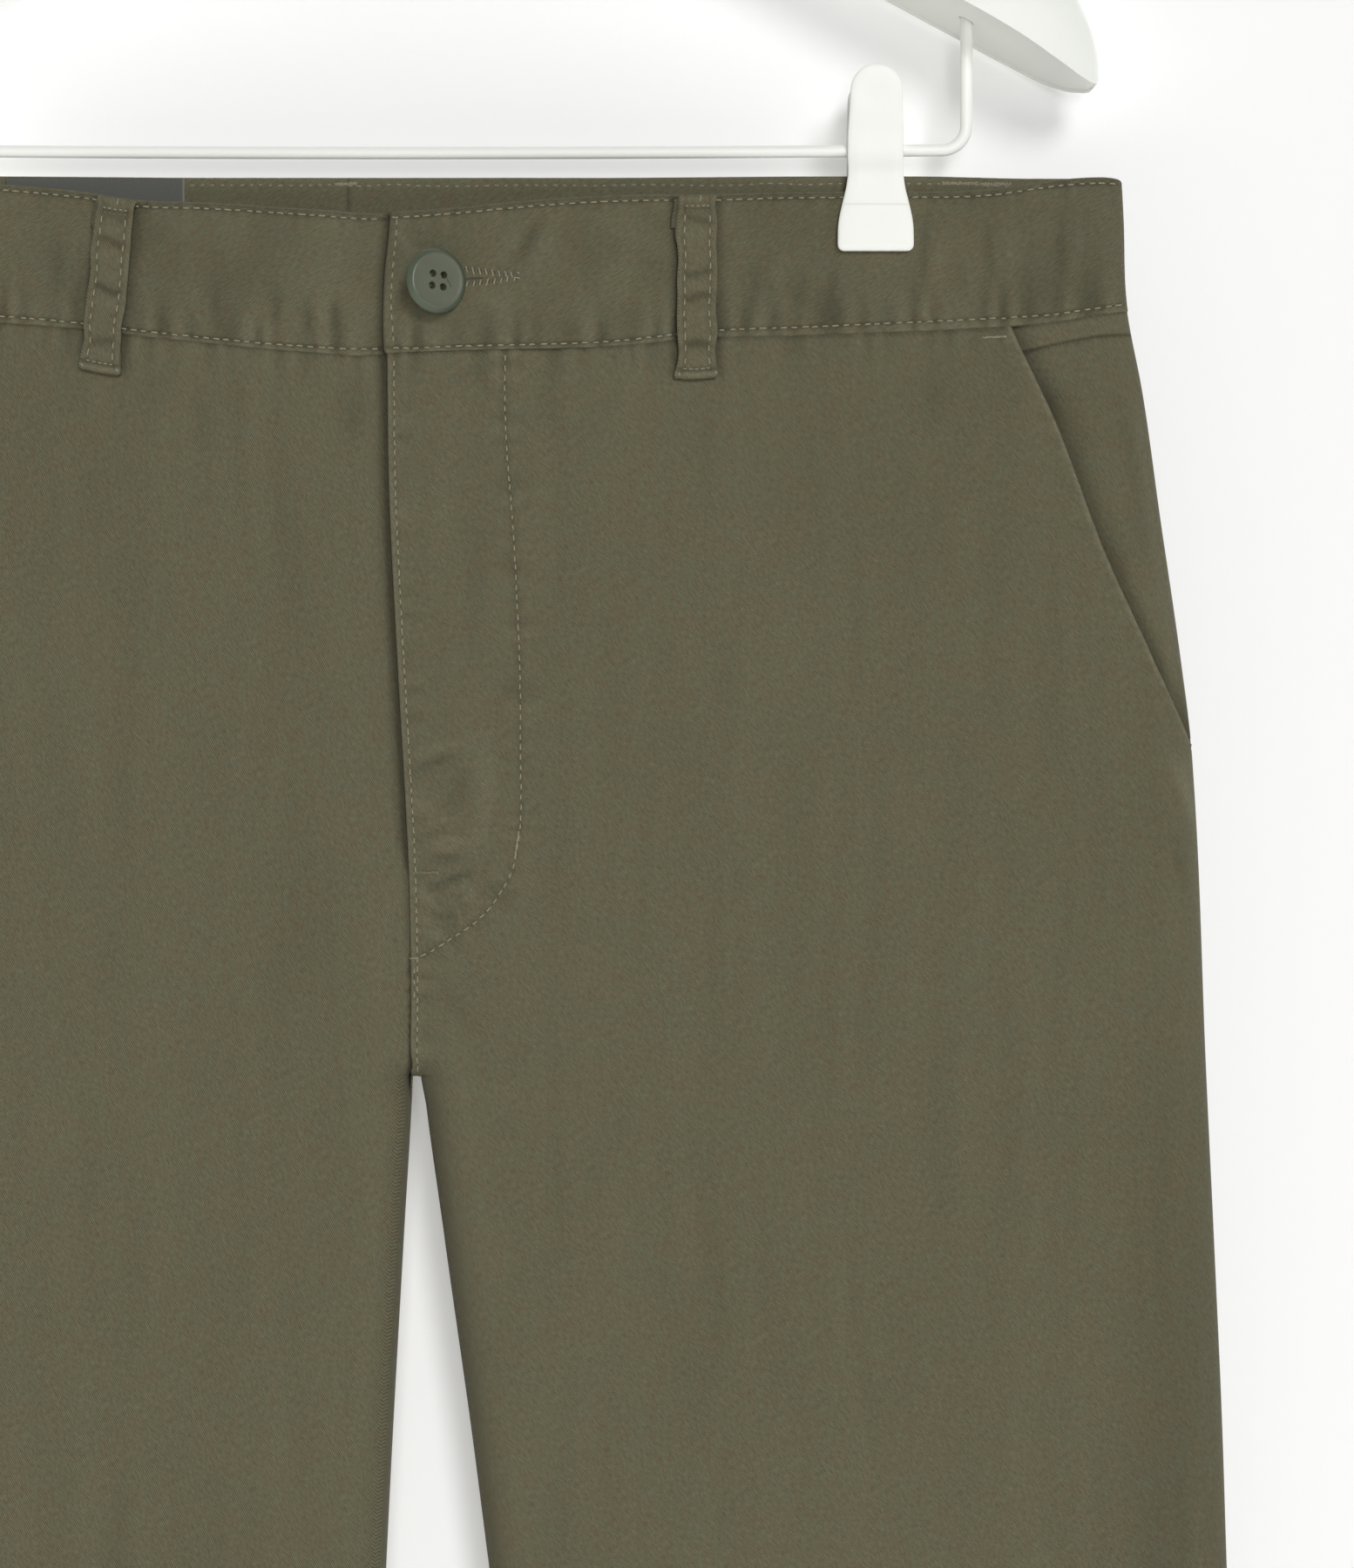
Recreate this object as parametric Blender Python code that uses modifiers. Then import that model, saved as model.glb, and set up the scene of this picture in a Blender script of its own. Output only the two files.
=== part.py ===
"""Chino shorts of cotton twill, hung by the waistband from a white clip hanger.

Frame: metres, +Z up, the front towards -Y and the wearer's left towards +X. The origin is the point inside the top
of the hook where the hanger rests on its rail. A "level" is a height measured from the line of the waist, which
hangs WAIST_DROP below the origin, so levels on the shorts are negative.

The cloth is described by one pair of surfaces, front and back, that stand off the middle plane Y = 0 by depth() and
close at the side seams, the inseams and the crotch. Every cut piece is a stretch of that pair with its own outline,
its own lift off the surface and its own thickness.
"""
import math

import bpy
import numpy as np

MM = 0.001

# Cloth and seams
SEAM_GAP = 0.3 * MM
CLOTH = 1.2 * MM  # one panel with its seam allowances
BAND_CLOTH = 2.4 * MM  # waistband: outer, interlining and inner
LOOP_CLOTH = 1.3 * MM
LABEL_CLOTH = 0.4 * MM

# How the shorts hang
WAIST_DROP = 207 * MM  # from the rail to the line of the waist
HEM_LEVEL = -487 * MM  # 230 mm inseam
CROTCH_LEVEL = -257.4 * MM
BACK_TOP_LEVEL = 0.4 * MM
BACK_SEAM_LEVEL = -39.1 * MM  # back waistband seam
CLIP_X = 133.5 * MM
PINCH_DEPTH = 2.1 * MM  # front or back surface off the middle plane, in the jaws
PINCH_HALF_WIDTH = 11.5 * MM
PINCH_REACH = 70 * MM  # sideways, until the band stands open
PINCH_BOTTOM = -24 * MM
PINCH_FADE = -130 * MM
BODY_DEPTH = {"front": 11 * MM, "back": 12 * MM}
WAIST_DEPTH = {"front": 11 * MM, "back": 4.5 * MM}  # between the clips
WAIST_END_DEPTH = 6 * MM  # between a clip and the side
SIDE_ROUND = 14 * MM
WAIST_SIDE_ROUND = 8 * MM
CROTCH_ROUND = 12 * MM
CROTCH_FADE = 10 * MM
FACING = {"front": -1.0, "back": 1.0}

# Silhouette, mm: level, centre line, half width, half the gap between the legs
SILHOUETTE = (
    (5, 0.0, 203.0, 0.0),
    (-12, 0.0, 204.0, 0.0),
    (-36, 0.0, 205.0, 0.0),
    (-62, 0.0, 209.8, 0.0),
    (-99, 0.1, 214.9, 0.0),
    (-137, 0.3, 220.2, 0.0),
    (-162, 0.6, 223.4, 0.0),
    (-176, 0.9, 224.3, 0.0),
    (-257, 2.4, 226.1, 1.4),
    (-304, 4.2, 226.2, 5.8),
    (-361, 6.6, 226.2, 11.4),
    (-399, 8.1, 225.9, 14.8),
    (-487, 12.3, 225.0, 22.5),
)

# Long soft folds, mm: x, level at the middle, half breadth, half length, how far it sinks (a ridge is negative)
FOLDS = {
    "front": (
        (84, -315, 20, 80, 1.1), (150, -400, 24, 75, -0.8), (200, -340, 16, 110, 1.2), (118, -150, 26, 45, 0.7),
        (-62, -300, 22, 75, 1.0), (-128, -390, 26, 80, -0.8), (-186, -330, 18, 100, 1.1), (-100, -140, 28, 40, 0.7),
    ),
    "back": (
        (96, -330, 24, 85, 1.2), (176, -390, 26, 80, 1.0), (44, -190, 26, 45, 0.9), (140, -205, 22, 60, -0.7),
        (-84, -320, 24, 85, 1.1), (-160, -400, 26, 80, 1.0), (-52, -185, 26, 45, 0.9), (-140, -215, 22, 60, -0.7),
    ),
}

# Front waistband, mm: x, level of the top edge, level of the lower seam
FRONT_WAIST = (
    (-206, 0.0, -39.1),
    (-184, -1.4, -41.3),
    (-152, -2.0, -41.9),
    (-114, -2.6, -42.6),
    (-91, -5.4, -44.8),
    (-78, -7.8, -46.6),
    (-54, -9.2, -49.4),
    (-29, -10.8, -51.7),
    (-10, -11.9, -52.6),
    (-5, -11.8, -52.2),
    (16, -10.5, -51.3),
    (30, -9.1, -51.0),
    (57, -7.1, -50.1),
    (88, -5.9, -47.0),
    (105, -4.9, -46.3),
    (141, -4.0, -44.9),
    (168, -4.2, -44.1),
    (184, -1.4, -42.8),
    (206, 0.0, -39.1),
)

# Pocket mouth of the left front, mm: level, x
POCKET_MOUTH = ((-35, 168.5), (-43, 171.8), (-70, 184.2), (-111, 199.5), (-136, 211.0), (-164, 224.7))
POCKET_END = -163.6 * MM
FACING_HIDDEN = 18 * MM  # width of the facing behind the mouth's edge
FACING_SINK = 1.8 * MM  # its surface under the mouth's edge: one cloth and a little air
FACING_RISE = (1 * MM, 12 * MM)  # it rises to the surface between these distances past the edge

# Fly edge of the left front, mm: level, x
FLY_EDGE = ((-45, -5.6), (-92, -5.0), (-122, -3.6), (-153, -1.9), (-200, 0.6), (-236, 1.2), (-257, 0.9))
FLY_LIFT = 0.6 * MM
FLY_SINK = 0.9 * MM
FLY_PLATEAU = 33 * MM
FLY_FADE = 12 * MM
FLY_RAMP = 14 * MM
UNDERLAP = 10 * MM
UNDERLAP_LEAST = 2 * MM
UNDERLAP_FROM = -250 * MM  # it grows to its full reach over this much above that level
UNDERLAP_GROWTH = 25 * MM
ZIP_BELOW_SEAM = 0.8 * MM
ZIP_BOTTOM = -205 * MM
ZIP_TAPE = 1.0 * MM
ZIP_TEETH = 2.0 * MM
ZIP_ACROSS = (0, 7.5, 8.5, 12.5, 13.5, 21)  # mm: tape, step up, teeth, step down, tape

# Waistband
BAND_PROUD = 0.7 * MM
BAND_END_X = -6.2 * MM  # the left band's end, on top
BAND_LIFT = 1.2 * MM
BAND_SINK = 1.5 * MM
BAND_PLATEAU = 40 * MM
BAND_FADE = 33 * MM
BAND_UNDERLAP_X = 30 * MM
SEAT_SEAM = ((5, -18.0), (-60, -18.0), (-160, -10.0), (-257, 2.4))  # mm: level, x

# Belt loops: centre x at the top and at the bottom, side
LOOP_WIDTH = 11.3 * MM
LOOP_LENGTH = 51 * MM
LOOP_TURNED = 0.12  # share of its length that is turned under at each end
LOOP_STEP = 0.015  # share over which the turned-under end thins to one strip
LOOP_BELOW_TOP = 1.2 * MM
BAND_EDGE_COVER = 1.2 * MM  # the loop steps down from the band this far under its seam
LOOPS = {
    "belt_loop_front_left": (82 * MM, 82 * MM, "front"),
    "belt_loop_front_right": (-82 * MM, -87.4 * MM, "front"),
    "belt_loop_back_centre": (-18 * MM, -18 * MM, "back"),
    "belt_loop_back_left": (159 * MM, 159 * MM, "back"),
    "belt_loop_back_right": (-186 * MM, -186 * MM, "back"),
}

# Label and button
LABEL_X = (-116 * MM, -65 * MM)
LABEL_LEVELS = (-1.5 * MM, -33 * MM)
BUTTON_X = 9 * MM
BUTTON_LEVEL = -32.4 * MM
BUTTON_TURN = math.radians(29)
BUTTON_HOLE_RADIUS = 1.05 * MM
BUTTON_HOLE_OFFSET = 1.7 * MM
BUTTON_STEPS = 24
# Turned profile, mm: radius, height over the middle plane, from the face to the back
BUTTON_PROFILE = (
    (0, 0.6), (6.1, 0.6), (6.8, 1.1), (7.5, 1.5), (8.4, 1.3), (9.1, 0.5), (9.2, -0.2), (8.5, -1.2), (0, -1.5),
)

# Hanger
ROD_RADIUS = 1.75 * MM
ROD_LEVEL = 7.7 * MM
ROD_SAG = 0.9 * MM
ROD_BEND = 7 * MM
ROD_END_X = 159.75 * MM
ROD_SOCKET = 6 * MM
HOOK_RADIUS = 22 * MM  # to the middle of the wire
HOOK_WIRE = 2 * MM
HOOK_START = math.radians(-62)
HOOK_END = math.radians(200)
HOOK_POINTS = 22
SHANK_SOCKET = 8 * MM
SOCKET_CLEARANCE = 0.3 * MM
NECK = ((0.4, -9.0), (2.6, -3.6))  # mm: x, height under the end of the bow
NECK_RISE = 4 * MM  # straight wire over the arms
ARM_UNDERSIDE_TOP = -96 * MM  # height of the underside at the middle
ARM_SLOPE = 0.2888
ARM_CURVE = 0.817  # 1/m: how the slope grows outwards
# Arm, mm: x, width front to back, height, how far the underside rises towards the tip
ARM_SECTIONS = (
    (0, 15, 26, 0), (12, 15, 25, 0), (40, 20, 23, 0), (85, 32, 24, 0), (125, 42, 27, 0), (155, 47, 30, 0),
    (174, 44, 31, 0), (186, 34, 28, 0), (193, 20, 21, 1.2), (196.5, 10, 12, 3.2), (197.5, 5, 6, 5),
)
ARM_SQUARENESS = 3.2
ARM_ROUND = 11  # points round the section
DRILL_PAST = 8 * MM
JAW_FACE = PINCH_DEPTH + BAND_PROUD + SEAM_GAP  # inner face of a jaw off the middle plane
# Clip plate, mm: level, half width, how much further out than the jaw's its inner face is (it closes in on the rod)
CLIP_PLATE = (
    (30.2, 2.4, 5.6), (29.2, 4.3, 5.4), (27.2, 6.5, 5.0), (23.5, 7.4, 4.0), (16.4, 7.7, 1.7), (10.5, 8.0, -0.5),
    (7.5, 8.0, -1.05), (4.5, 8.0, -0.9), (0.8, 7.9, 0), (-4.0, 8.5, 0), (-8.5, 9.6, 0), (-14.0, 10.7, 0),
    (-19.0, 10.9, 0), (-21.0, 10.6, 0), (-22.0, 9.1, 0),
)
CLIP_THICKNESS = 2.8 * MM
CLIP_ACROSS = (-1, -0.6, 0.6, 1)

# Panel grids: shares of the width, and levels in mm
COLUMN_SHARES = (0, 0.005, 0.018, 0.04, 0.066, 0.13, 0.24, 0.37, 0.5, 0.63, 0.76, 0.87, 0.934, 0.96, 0.982, 0.995, 1)
SHARED_LEVELS = (
    -45, -58, -74, -92, -111, -185, -210, -230, -245.4, -250, -253.9, -256.5, -257.4, -259, -272, -295, -330, -370,
    -410, -446, -461.5, -462.5, -487,
)
FRONT_LEVELS = (-124, -136, -146, -154, -160, -163.6, -167)
BACK_LEVELS = (-136, -160)
FACING_LEVELS = (-45, -58, -74, -92, -111, -124, -136, -146, -154, -160, -165, -171)
NOMINAL_SEAM = -45 * MM
SEAM_BLEND = 50 * MM
HEM_DEPTH = 25 * MM
FACING_SHARES = (0, 0.35, 0.5, 0.62, 0.74, 0.86, 0.93, 0.97, 0.99, 1)
ZIP_ROWS = 8
ROW_PASSES = 3  # a row's level and its ends depend on each other, and settle in this many passes
JUST_ABOVE = 0.1 * MM
HALF_SPACE = 2.0
MERGE_DISTANCE = 0.05 * MM

# Colours, linear
TWILL = (0.122, 0.113, 0.072, 1)
LABEL_GREY = (0.094, 0.096, 0.083, 1)
BUTTON_GREEN = (0.108, 0.118, 0.085, 1)
ZIP_BRASS = (0.21, 0.18, 0.11, 1)
HANGER_WHITE = (0.90, 0.91, 0.87, 1)


# ---------------------------------------------------------------- helpers
def smoothstep(t):
    """0 below 0, 1 above 1 and level at both ends."""
    t = np.clip(t, 0.0, 1.0)
    return t * t * (3 - 2 * t)


def curve_through(table, column, at):
    """A smooth curve through a table in mm: its first column is the place, the given column the value."""
    rows = sorted(table)
    places = np.array([row[0] for row in rows]) * MM
    values = np.array([row[column] for row in rows]) * MM
    slopes = np.gradient(values, places)
    at = np.clip(np.asarray(at, float), places[0], places[-1])
    i = np.clip(np.searchsorted(places, at) - 1, 0, len(places) - 2)
    span = places[i + 1] - places[i]
    t = (at - places[i]) / span
    return (
        values[i] * (1 + 2 * t) * (1 - t) ** 2
        + slopes[i] * span * t * (1 - t) ** 2
        + values[i + 1] * t * t * (3 - 2 * t)
        - slopes[i + 1] * span * t * t * (1 - t)
    )


def fold(distance, radius):
    """How far a surface has come off its seam: a quarter of an ellipse, from 0 at the seam to 1 at the radius."""
    t = np.clip(distance / radius, 0.0, 1.0)
    return np.sqrt(1 - (1 - t) ** 2)


def centre(level):
    return curve_through(SILHOUETTE, 1, level)


def half_width(level):
    return curve_through(SILHOUETTE, 2, level)


def half_gap(level):
    return np.where(level > CROTCH_LEVEL, 0.0, np.maximum(curve_through(SILHOUETTE, 3, level), 0.0))


def waist_depth(x, side):
    """Depth of the waistband: flat in the jaws, bowed between them and open at the sides."""
    between = np.abs(x) < CLIP_X
    opened = np.where(between, WAIST_DEPTH[side], WAIST_END_DEPTH)
    beyond = np.abs(np.abs(x) - CLIP_X) - PINCH_HALF_WIDTH
    reach = np.where(between, PINCH_REACH, (half_width(0) - CLIP_X) / 2)
    return PINCH_DEPTH + (opened - PINCH_DEPTH) * smoothstep(beyond / reach)


def folds_sink(x, level, side):
    """How far the long soft folds sink the surface: a rounded bump across and along each."""
    sunk = 0.0
    for at, middle, half_breadth, half_length, deep in FOLDS[side]:
        across = (x / MM - at) / half_breadth
        along = (level / MM - middle) / half_length
        sunk = sunk + deep * MM * np.exp(-across * across - along * along)
    return sunk


def depth(x, level, side):
    """Distance of the front or back surface from the middle plane."""
    held = smoothstep((level - PINCH_FADE) / (PINCH_BOTTOM - PINCH_FADE))
    full = BODY_DEPTH[side] + (waist_depth(x, side) - BODY_DEPTH[side]) * held
    from_centre = np.abs(x - centre(level))
    to_side = half_width(level) - from_centre
    side_round = SIDE_ROUND + (WAIST_SIDE_ROUND - SIDE_ROUND) * held
    to_crotch = np.hypot(
        np.maximum(from_centre - half_gap(level), 0), np.maximum(level - CROTCH_LEVEL, 0)
    )
    return (full - folds_sink(x, level, side)) * fold(to_side, side_round) * fold(to_crotch, CROTCH_ROUND)


def cloth_points(x, level, side, lift):
    """Points of the front or back surface, moved out by lift along its normal."""
    x, level, lift = np.broadcast_arrays(x, level, lift)
    step = 0.05 * MM
    across = (depth(x + step, level, side) - depth(x - step, level, side)) / (2 * step)
    up = (depth(x, level + step, side) - depth(x, level - step, side)) / (2 * step)
    normal = np.stack([-across, np.full(x.shape, FACING[side]), -up], -1)
    normal /= np.linalg.norm(normal, axis=-1, keepdims=True)
    surface = np.stack([x, FACING[side] * depth(x, level, side), level - WAIST_DROP], -1)
    return surface + lift[..., None] * normal


def seam_levels(x, side):
    """Level of the waistband's lower seam."""
    return curve_through(FRONT_WAIST, 2, x) if side == "front" else np.full(np.shape(x), BACK_SEAM_LEVEL)


def top_levels(x, side):
    """Level of the waistband's top edge."""
    return curve_through(FRONT_WAIST, 1, x) if side == "front" else np.full(np.shape(x), BACK_TOP_LEVEL)


def row_levels(x, nominal, side):
    """Panel rows: the first follows the waistband seam, and the ones below it straighten out."""
    pull = np.clip((nominal - NOMINAL_SEAM + SEAM_BLEND) / SEAM_BLEND, 0, 1)
    return nominal + (seam_levels(x, side) - SEAM_GAP - NOMINAL_SEAM) * pull


def fly_edge(level):
    return curve_through(FLY_EDGE, 1, level)


def pocket_mouth(level):
    return curve_through(POCKET_MOUTH, 1, level)


def side_edge(level):
    return centre(level) + half_width(level)


# ---------------------------------------------------------------- scene and materials
def material(name, colour, roughness, metallic=0.0):
    made = bpy.data.materials.new(name)
    made.use_nodes = True
    shader = made.node_tree.nodes["Principled BSDF"]
    shader.inputs["Base Color"].default_value = colour
    shader.inputs["Roughness"].default_value = roughness
    shader.inputs["Metallic"].default_value = metallic
    made.diffuse_color = colour
    return made


def start_scene():
    """Empties the scene and makes the two collections and the materials."""
    for old in list(bpy.data.objects):
        bpy.data.objects.remove(old, do_unlink=True)
    parts = bpy.data.collections.new("Chino shorts on a clip hanger")
    cutters = bpy.data.collections.new("Cutters")
    for group in (parts, cutters):
        bpy.context.scene.collection.children.link(group)
    materials = {
        "twill": material("twill", TWILL, 0.9),
        "label": material("label", LABEL_GREY, 0.8),
        "button": material("button", BUTTON_GREEN, 0.45),
        "zip": material("zip", ZIP_BRASS, 0.5, 0.6),
        "hanger": material("hanger", HANGER_WHITE, 0.4),
    }
    whole = bpy.data.objects.new("chino_shorts", None)
    parts.objects.link(whole)
    return {"parts": parts, "cutters": cutters, "materials": materials, "whole": whole}


def add_object(scene, name, data, finish):
    made = bpy.data.objects.new(name, data)
    scene["parts"].objects.link(made)
    made.parent = scene["whole"]
    made.data.materials.append(scene["materials"][finish])
    return made


def make_cutter(scene, name):
    """Turns the primitive that was added last into a cutter."""
    made = bpy.context.object
    made.name = made.data.name = name
    for group in made.users_collection:
        group.objects.unlink(made)
    scene["cutters"].objects.link(made)
    made.hide_render = True
    made.display_type = "WIRE"
    return made


def cut(target, cutter):
    made = target.modifiers.new(cutter.name, "BOOLEAN")
    made.operation = "DIFFERENCE"
    made.object = cutter
    made.solver = "EXACT"


def grid_mesh(name, points, flip):
    """A mesh of quads over a grid of points, rows down and columns across, facing -Y unless flipped."""
    rows, columns = points.shape[:2]
    index = np.arange(rows * columns).reshape(rows, columns)
    quads = np.stack([index[:-1, :-1], index[1:, :-1], index[1:, 1:], index[:-1, 1:]], -1).reshape(-1, 4)
    if flip:
        quads = quads[:, ::-1]
    mesh = bpy.data.meshes.new(name)
    mesh.from_pydata(points.reshape(-1, 3).tolist(), [], quads.tolist())
    mesh.shade_smooth()
    return mesh


def cloth_piece(scene, name, points, side, thickness, finish="twill", layers=None):
    """A wall of cloth under a grid of outer points; layers gives each point's share of the thickness."""
    made = add_object(scene, name, grid_mesh(name, points, side == "back"), finish)
    wall = made.modifiers.new("cloth", "SOLIDIFY")
    wall.thickness = thickness
    wall.offset = -1
    if layers is not None:
        group = made.vertex_groups.new(name="layers")
        for vertex, share in enumerate(np.broadcast_to(layers, points.shape[:2]).ravel()):
            group.add([vertex], float(share), "REPLACE")
        wall.vertex_group = group.name
    return made


def half_space(scene, side):
    """The cutter that trims a front or back panel at the middle plane, half a seam gap short of it."""
    bpy.ops.mesh.primitive_cube_add(size=HALF_SPACE)
    made = make_cutter(scene, "beyond_" + side)
    made.location.y = -FACING[side] * (HALF_SPACE - SEAM_GAP) / 2
    return made


# ---------------------------------------------------------------- panels
def panel_grid(nominal_levels, inner, outer, side):
    """x and level of a panel's points, between two edges given as functions of the level."""
    nominal = np.array(sorted(nominal_levels, reverse=True))[:, None] * MM
    shares = np.array(COLUMN_SHARES)[None, :]
    level = nominal + 0 * shares
    for _ in range(ROW_PASSES):
        x = inner(level) + (outer(level) - inner(level)) * shares
        level = row_levels(x, nominal, side)
    return x, level


def panel_layers(level):
    """A panel is one cloth thick, and two in the turned-up hem."""
    return np.where(level < HEM_LEVEL + HEM_DEPTH, 1.0, 0.5)


def fly_fade(level):
    """The fly's lift fades out just below the crotch."""
    return smoothstep((level - CROTCH_LEVEL) / CROTCH_FADE + 1)


def fly_lift(x, level):
    past = x - fly_edge(level)
    return FLY_LIFT * (1 - smoothstep((past - FLY_PLATEAU) / FLY_FADE)) * fly_fade(level)


def fly_sink(x, level):
    past = x - fly_edge(level) + FLY_RAMP + UNDERLAP_LEAST
    return -FLY_SINK * smoothstep(past / FLY_RAMP) * fly_fade(level)


def left_inner(level):
    return np.where(level > CROTCH_LEVEL + JUST_ABOVE, fly_edge(level), centre(level) + half_gap(level))


def right_inner(level):
    grown = smoothstep((level - UNDERLAP_FROM) / UNDERLAP_GROWTH)
    reach = UNDERLAP_LEAST + (UNDERLAP - UNDERLAP_LEAST) * grown
    return np.where(level > CROTCH_LEVEL + JUST_ABOVE, fly_edge(level) + reach, centre(level) - half_gap(level))


def left_outer(level):
    return np.where(level > POCKET_END, np.minimum(pocket_mouth(level), side_edge(level)), side_edge(level))


def right_outer(level):
    right_side = centre(level) - half_width(level)
    mouth = 2 * centre(level) - pocket_mouth(level)
    return np.where(level > POCKET_END, np.maximum(mouth, right_side), right_side)


def make_fronts(scene, trim):
    levels = SHARED_LEVELS + FRONT_LEVELS
    x, level = panel_grid(levels, left_inner, left_outer, "front")
    points = cloth_points(x, level, "front", fly_lift(x, level))
    cut(cloth_piece(scene, "front_left", points, "front", 2 * CLOTH, layers=panel_layers(level)), trim)
    x, level = panel_grid(levels, right_outer, right_inner, "front")
    points = cloth_points(x, level, "front", fly_sink(x, level))
    cut(cloth_piece(scene, "front_right", points, "front", 2 * CLOTH, layers=panel_layers(level)), trim)


def seat_seam(level):
    return curve_through(SEAT_SEAM, 1, level)


def make_backs(scene, trim):
    levels = SHARED_LEVELS + BACK_LEVELS
    half = SEAM_GAP / 2

    def left_seat(level):
        return np.where(level > CROTCH_LEVEL, seat_seam(level) + half, centre(level) + half_gap(level))

    def right_seat(level):
        return np.where(level > CROTCH_LEVEL, seat_seam(level) - half, centre(level) - half_gap(level))

    def right_side(level):
        return centre(level) - half_width(level)

    for name, inner, outer in (("back_left", left_seat, side_edge), ("back_right", right_side, right_seat)):
        x, level = panel_grid(levels, inner, outer, "back")
        points = cloth_points(x, level, "back", 0.0)
        cut(cloth_piece(scene, name, points, "back", 2 * CLOTH, layers=panel_layers(level)), trim)


def make_pocket_facings(scene, trim):
    """The pieces behind the slanted pocket mouths: under the front's edge, then up to the surface at the side."""
    nominal = np.array(FACING_LEVELS)[:, None] * MM
    shares = np.array(FACING_SHARES)[None, :]
    for name, turn in (("pocket_facing_left", 1), ("pocket_facing_right", -1)):
        level = nominal + 0 * shares
        for _ in range(ROW_PASSES):
            hidden = pocket_mouth(level) - FACING_HIDDEN
            outward = hidden + (side_edge(level) - hidden) * shares
            x = centre(level) + turn * (outward - centre(level))
            level = row_levels(x, nominal, "front")
        past = outward - pocket_mouth(level)
        risen = smoothstep((past - FACING_RISE[0]) / (FACING_RISE[1] - FACING_RISE[0]))
        points = cloth_points(x, level, "front", -FACING_SINK * (1 - risen * (level > POCKET_END)))
        cut(cloth_piece(scene, name, points[:, ::turn], "front", CLOTH), trim)


def make_zip(scene):
    """Zip tape with its row of teeth, behind the fly and beside the right front's edge."""
    nominal = np.linspace(NOMINAL_SEAM - ZIP_BELOW_SEAM, ZIP_BOTTOM, ZIP_ROWS)[:, None]
    across = np.array(ZIP_ACROSS)[None, :] * MM
    level = nominal + 0 * across
    for _ in range(ROW_PASSES):
        x = fly_edge(level) + UNDERLAP + SEAM_GAP + across
        level = row_levels(x, nominal, "front")
    points = cloth_points(x, level, "front", -FLY_SINK)
    thick = np.array([ZIP_TAPE, ZIP_TAPE, ZIP_TEETH, ZIP_TEETH, ZIP_TAPE, ZIP_TAPE]) / ZIP_TEETH
    cloth_piece(scene, "fly_zip", points, "front", ZIP_TEETH, "zip", thick)


# ---------------------------------------------------------------- waistband and what is on it
def band_lift(x, name):
    """How far a waistband half stands off the panels' surface at the front."""
    if name == "waistband_left":
        return BAND_PROUD + BAND_LIFT * (1 - smoothstep((x - BAND_END_X - BAND_PLATEAU) / BAND_FADE))
    past = x - BAND_END_X + FLY_RAMP + UNDERLAP_LEAST
    return BAND_PROUD - BAND_SINK * smoothstep(past / FLY_RAMP)


def band_side(x, side, name):
    """One side of a waistband half: three rows of points from the top edge to the lower seam."""
    top, seam = top_levels(x, side), seam_levels(x, side)
    for _ in range(ROW_PASSES):
        seam = seam_levels(x * half_width(seam) / half_width(0), side)
    level = top + (seam - top) * np.array([0, 0.5, 1])[:, None]
    at = x * half_width(level) / half_width(0)
    lift = band_lift(at, name) if side == "front" else np.full(at.shape, BAND_PROUD)
    return cloth_points(at, level, side, lift)


def make_waistband(scene, name, front_end, turn):
    """A half from its front end round the side fold to the centre back; turn is +1 for the wearer's left."""
    jaw = CLIP_X + np.array([-PINCH_HALF_WIDTH, PINCH_HALF_WIDTH])
    inside = np.linspace(turn * front_end, jaw[0], 10)
    outside = np.linspace(jaw[1], half_width(0) - WAIST_SIDE_ROUND, 7)
    rounding = half_width(0) - WAIST_SIDE_ROUND * (1 - np.sin(np.radians([22.5, 45, 67.5, 90])))
    front = turn * np.concatenate([inside, outside, rounding])
    back_end = turn * seat_seam(BACK_TOP_LEVEL) + SEAM_GAP / 2
    back_inside = np.linspace(jaw[0], back_end, 8)
    back = turn * np.concatenate([rounding[::-1], outside[::-1], back_inside])
    front_points, back_points = band_side(front, "front", name), band_side(back, "back", name)
    folded = (front_points[:, -1:] + back_points[:, :1]) / 2
    points = np.concatenate([front_points[:, :-1], folded, back_points[:, 1:]], axis=1)
    cloth_piece(scene, name, points, "front" if turn > 0 else "back", BAND_CLOTH)


def make_belt_loop(scene, name, top_x, bottom_x, side):
    """A strip tacked at the band's top edge and below its seam, standing off the band between its doubled ends."""
    near_top, near_bottom = LOOP_TURNED + LOOP_STEP, 1 - LOOP_TURNED - LOOP_STEP
    share = np.array([0, LOOP_TURNED, near_top, 0.3, 0.5, 0.7, 0.8, near_bottom, 1 - LOOP_TURNED, 1])[:, None]
    across = np.array([-0.5, 0, 0.5])[None, :] * LOOP_WIDTH
    x = top_x + (bottom_x - top_x) * share + across
    level = top_levels(x, side) - LOOP_BELOW_TOP - LOOP_LENGTH * share
    on_band = level > seam_levels(x, side) - BAND_EDGE_COVER
    lift = np.where(on_band, BAND_PROUD, 0.0) + SEAM_GAP + 2 * LOOP_CLOTH
    layers = np.where((share <= LOOP_TURNED) | (share >= 1 - LOOP_TURNED), 1.0, 0.5)
    cloth_piece(scene, name, cloth_points(x, level, side, lift), side, 2 * LOOP_CLOTH, layers=layers)


def make_label(scene):
    """The bare woven label on the inner face of the back waistband."""
    x = np.linspace(*LABEL_X, 6)[None, :]
    level = np.linspace(*LABEL_LEVELS, 3)[:, None]
    inward = BAND_PROUD - BAND_CLOTH - SEAM_GAP
    points = cloth_points(x + 0 * level, level + 0 * x, "back", inward)
    cloth_piece(scene, "inner_label", points, "back", LABEL_CLOTH, "label")


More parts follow.
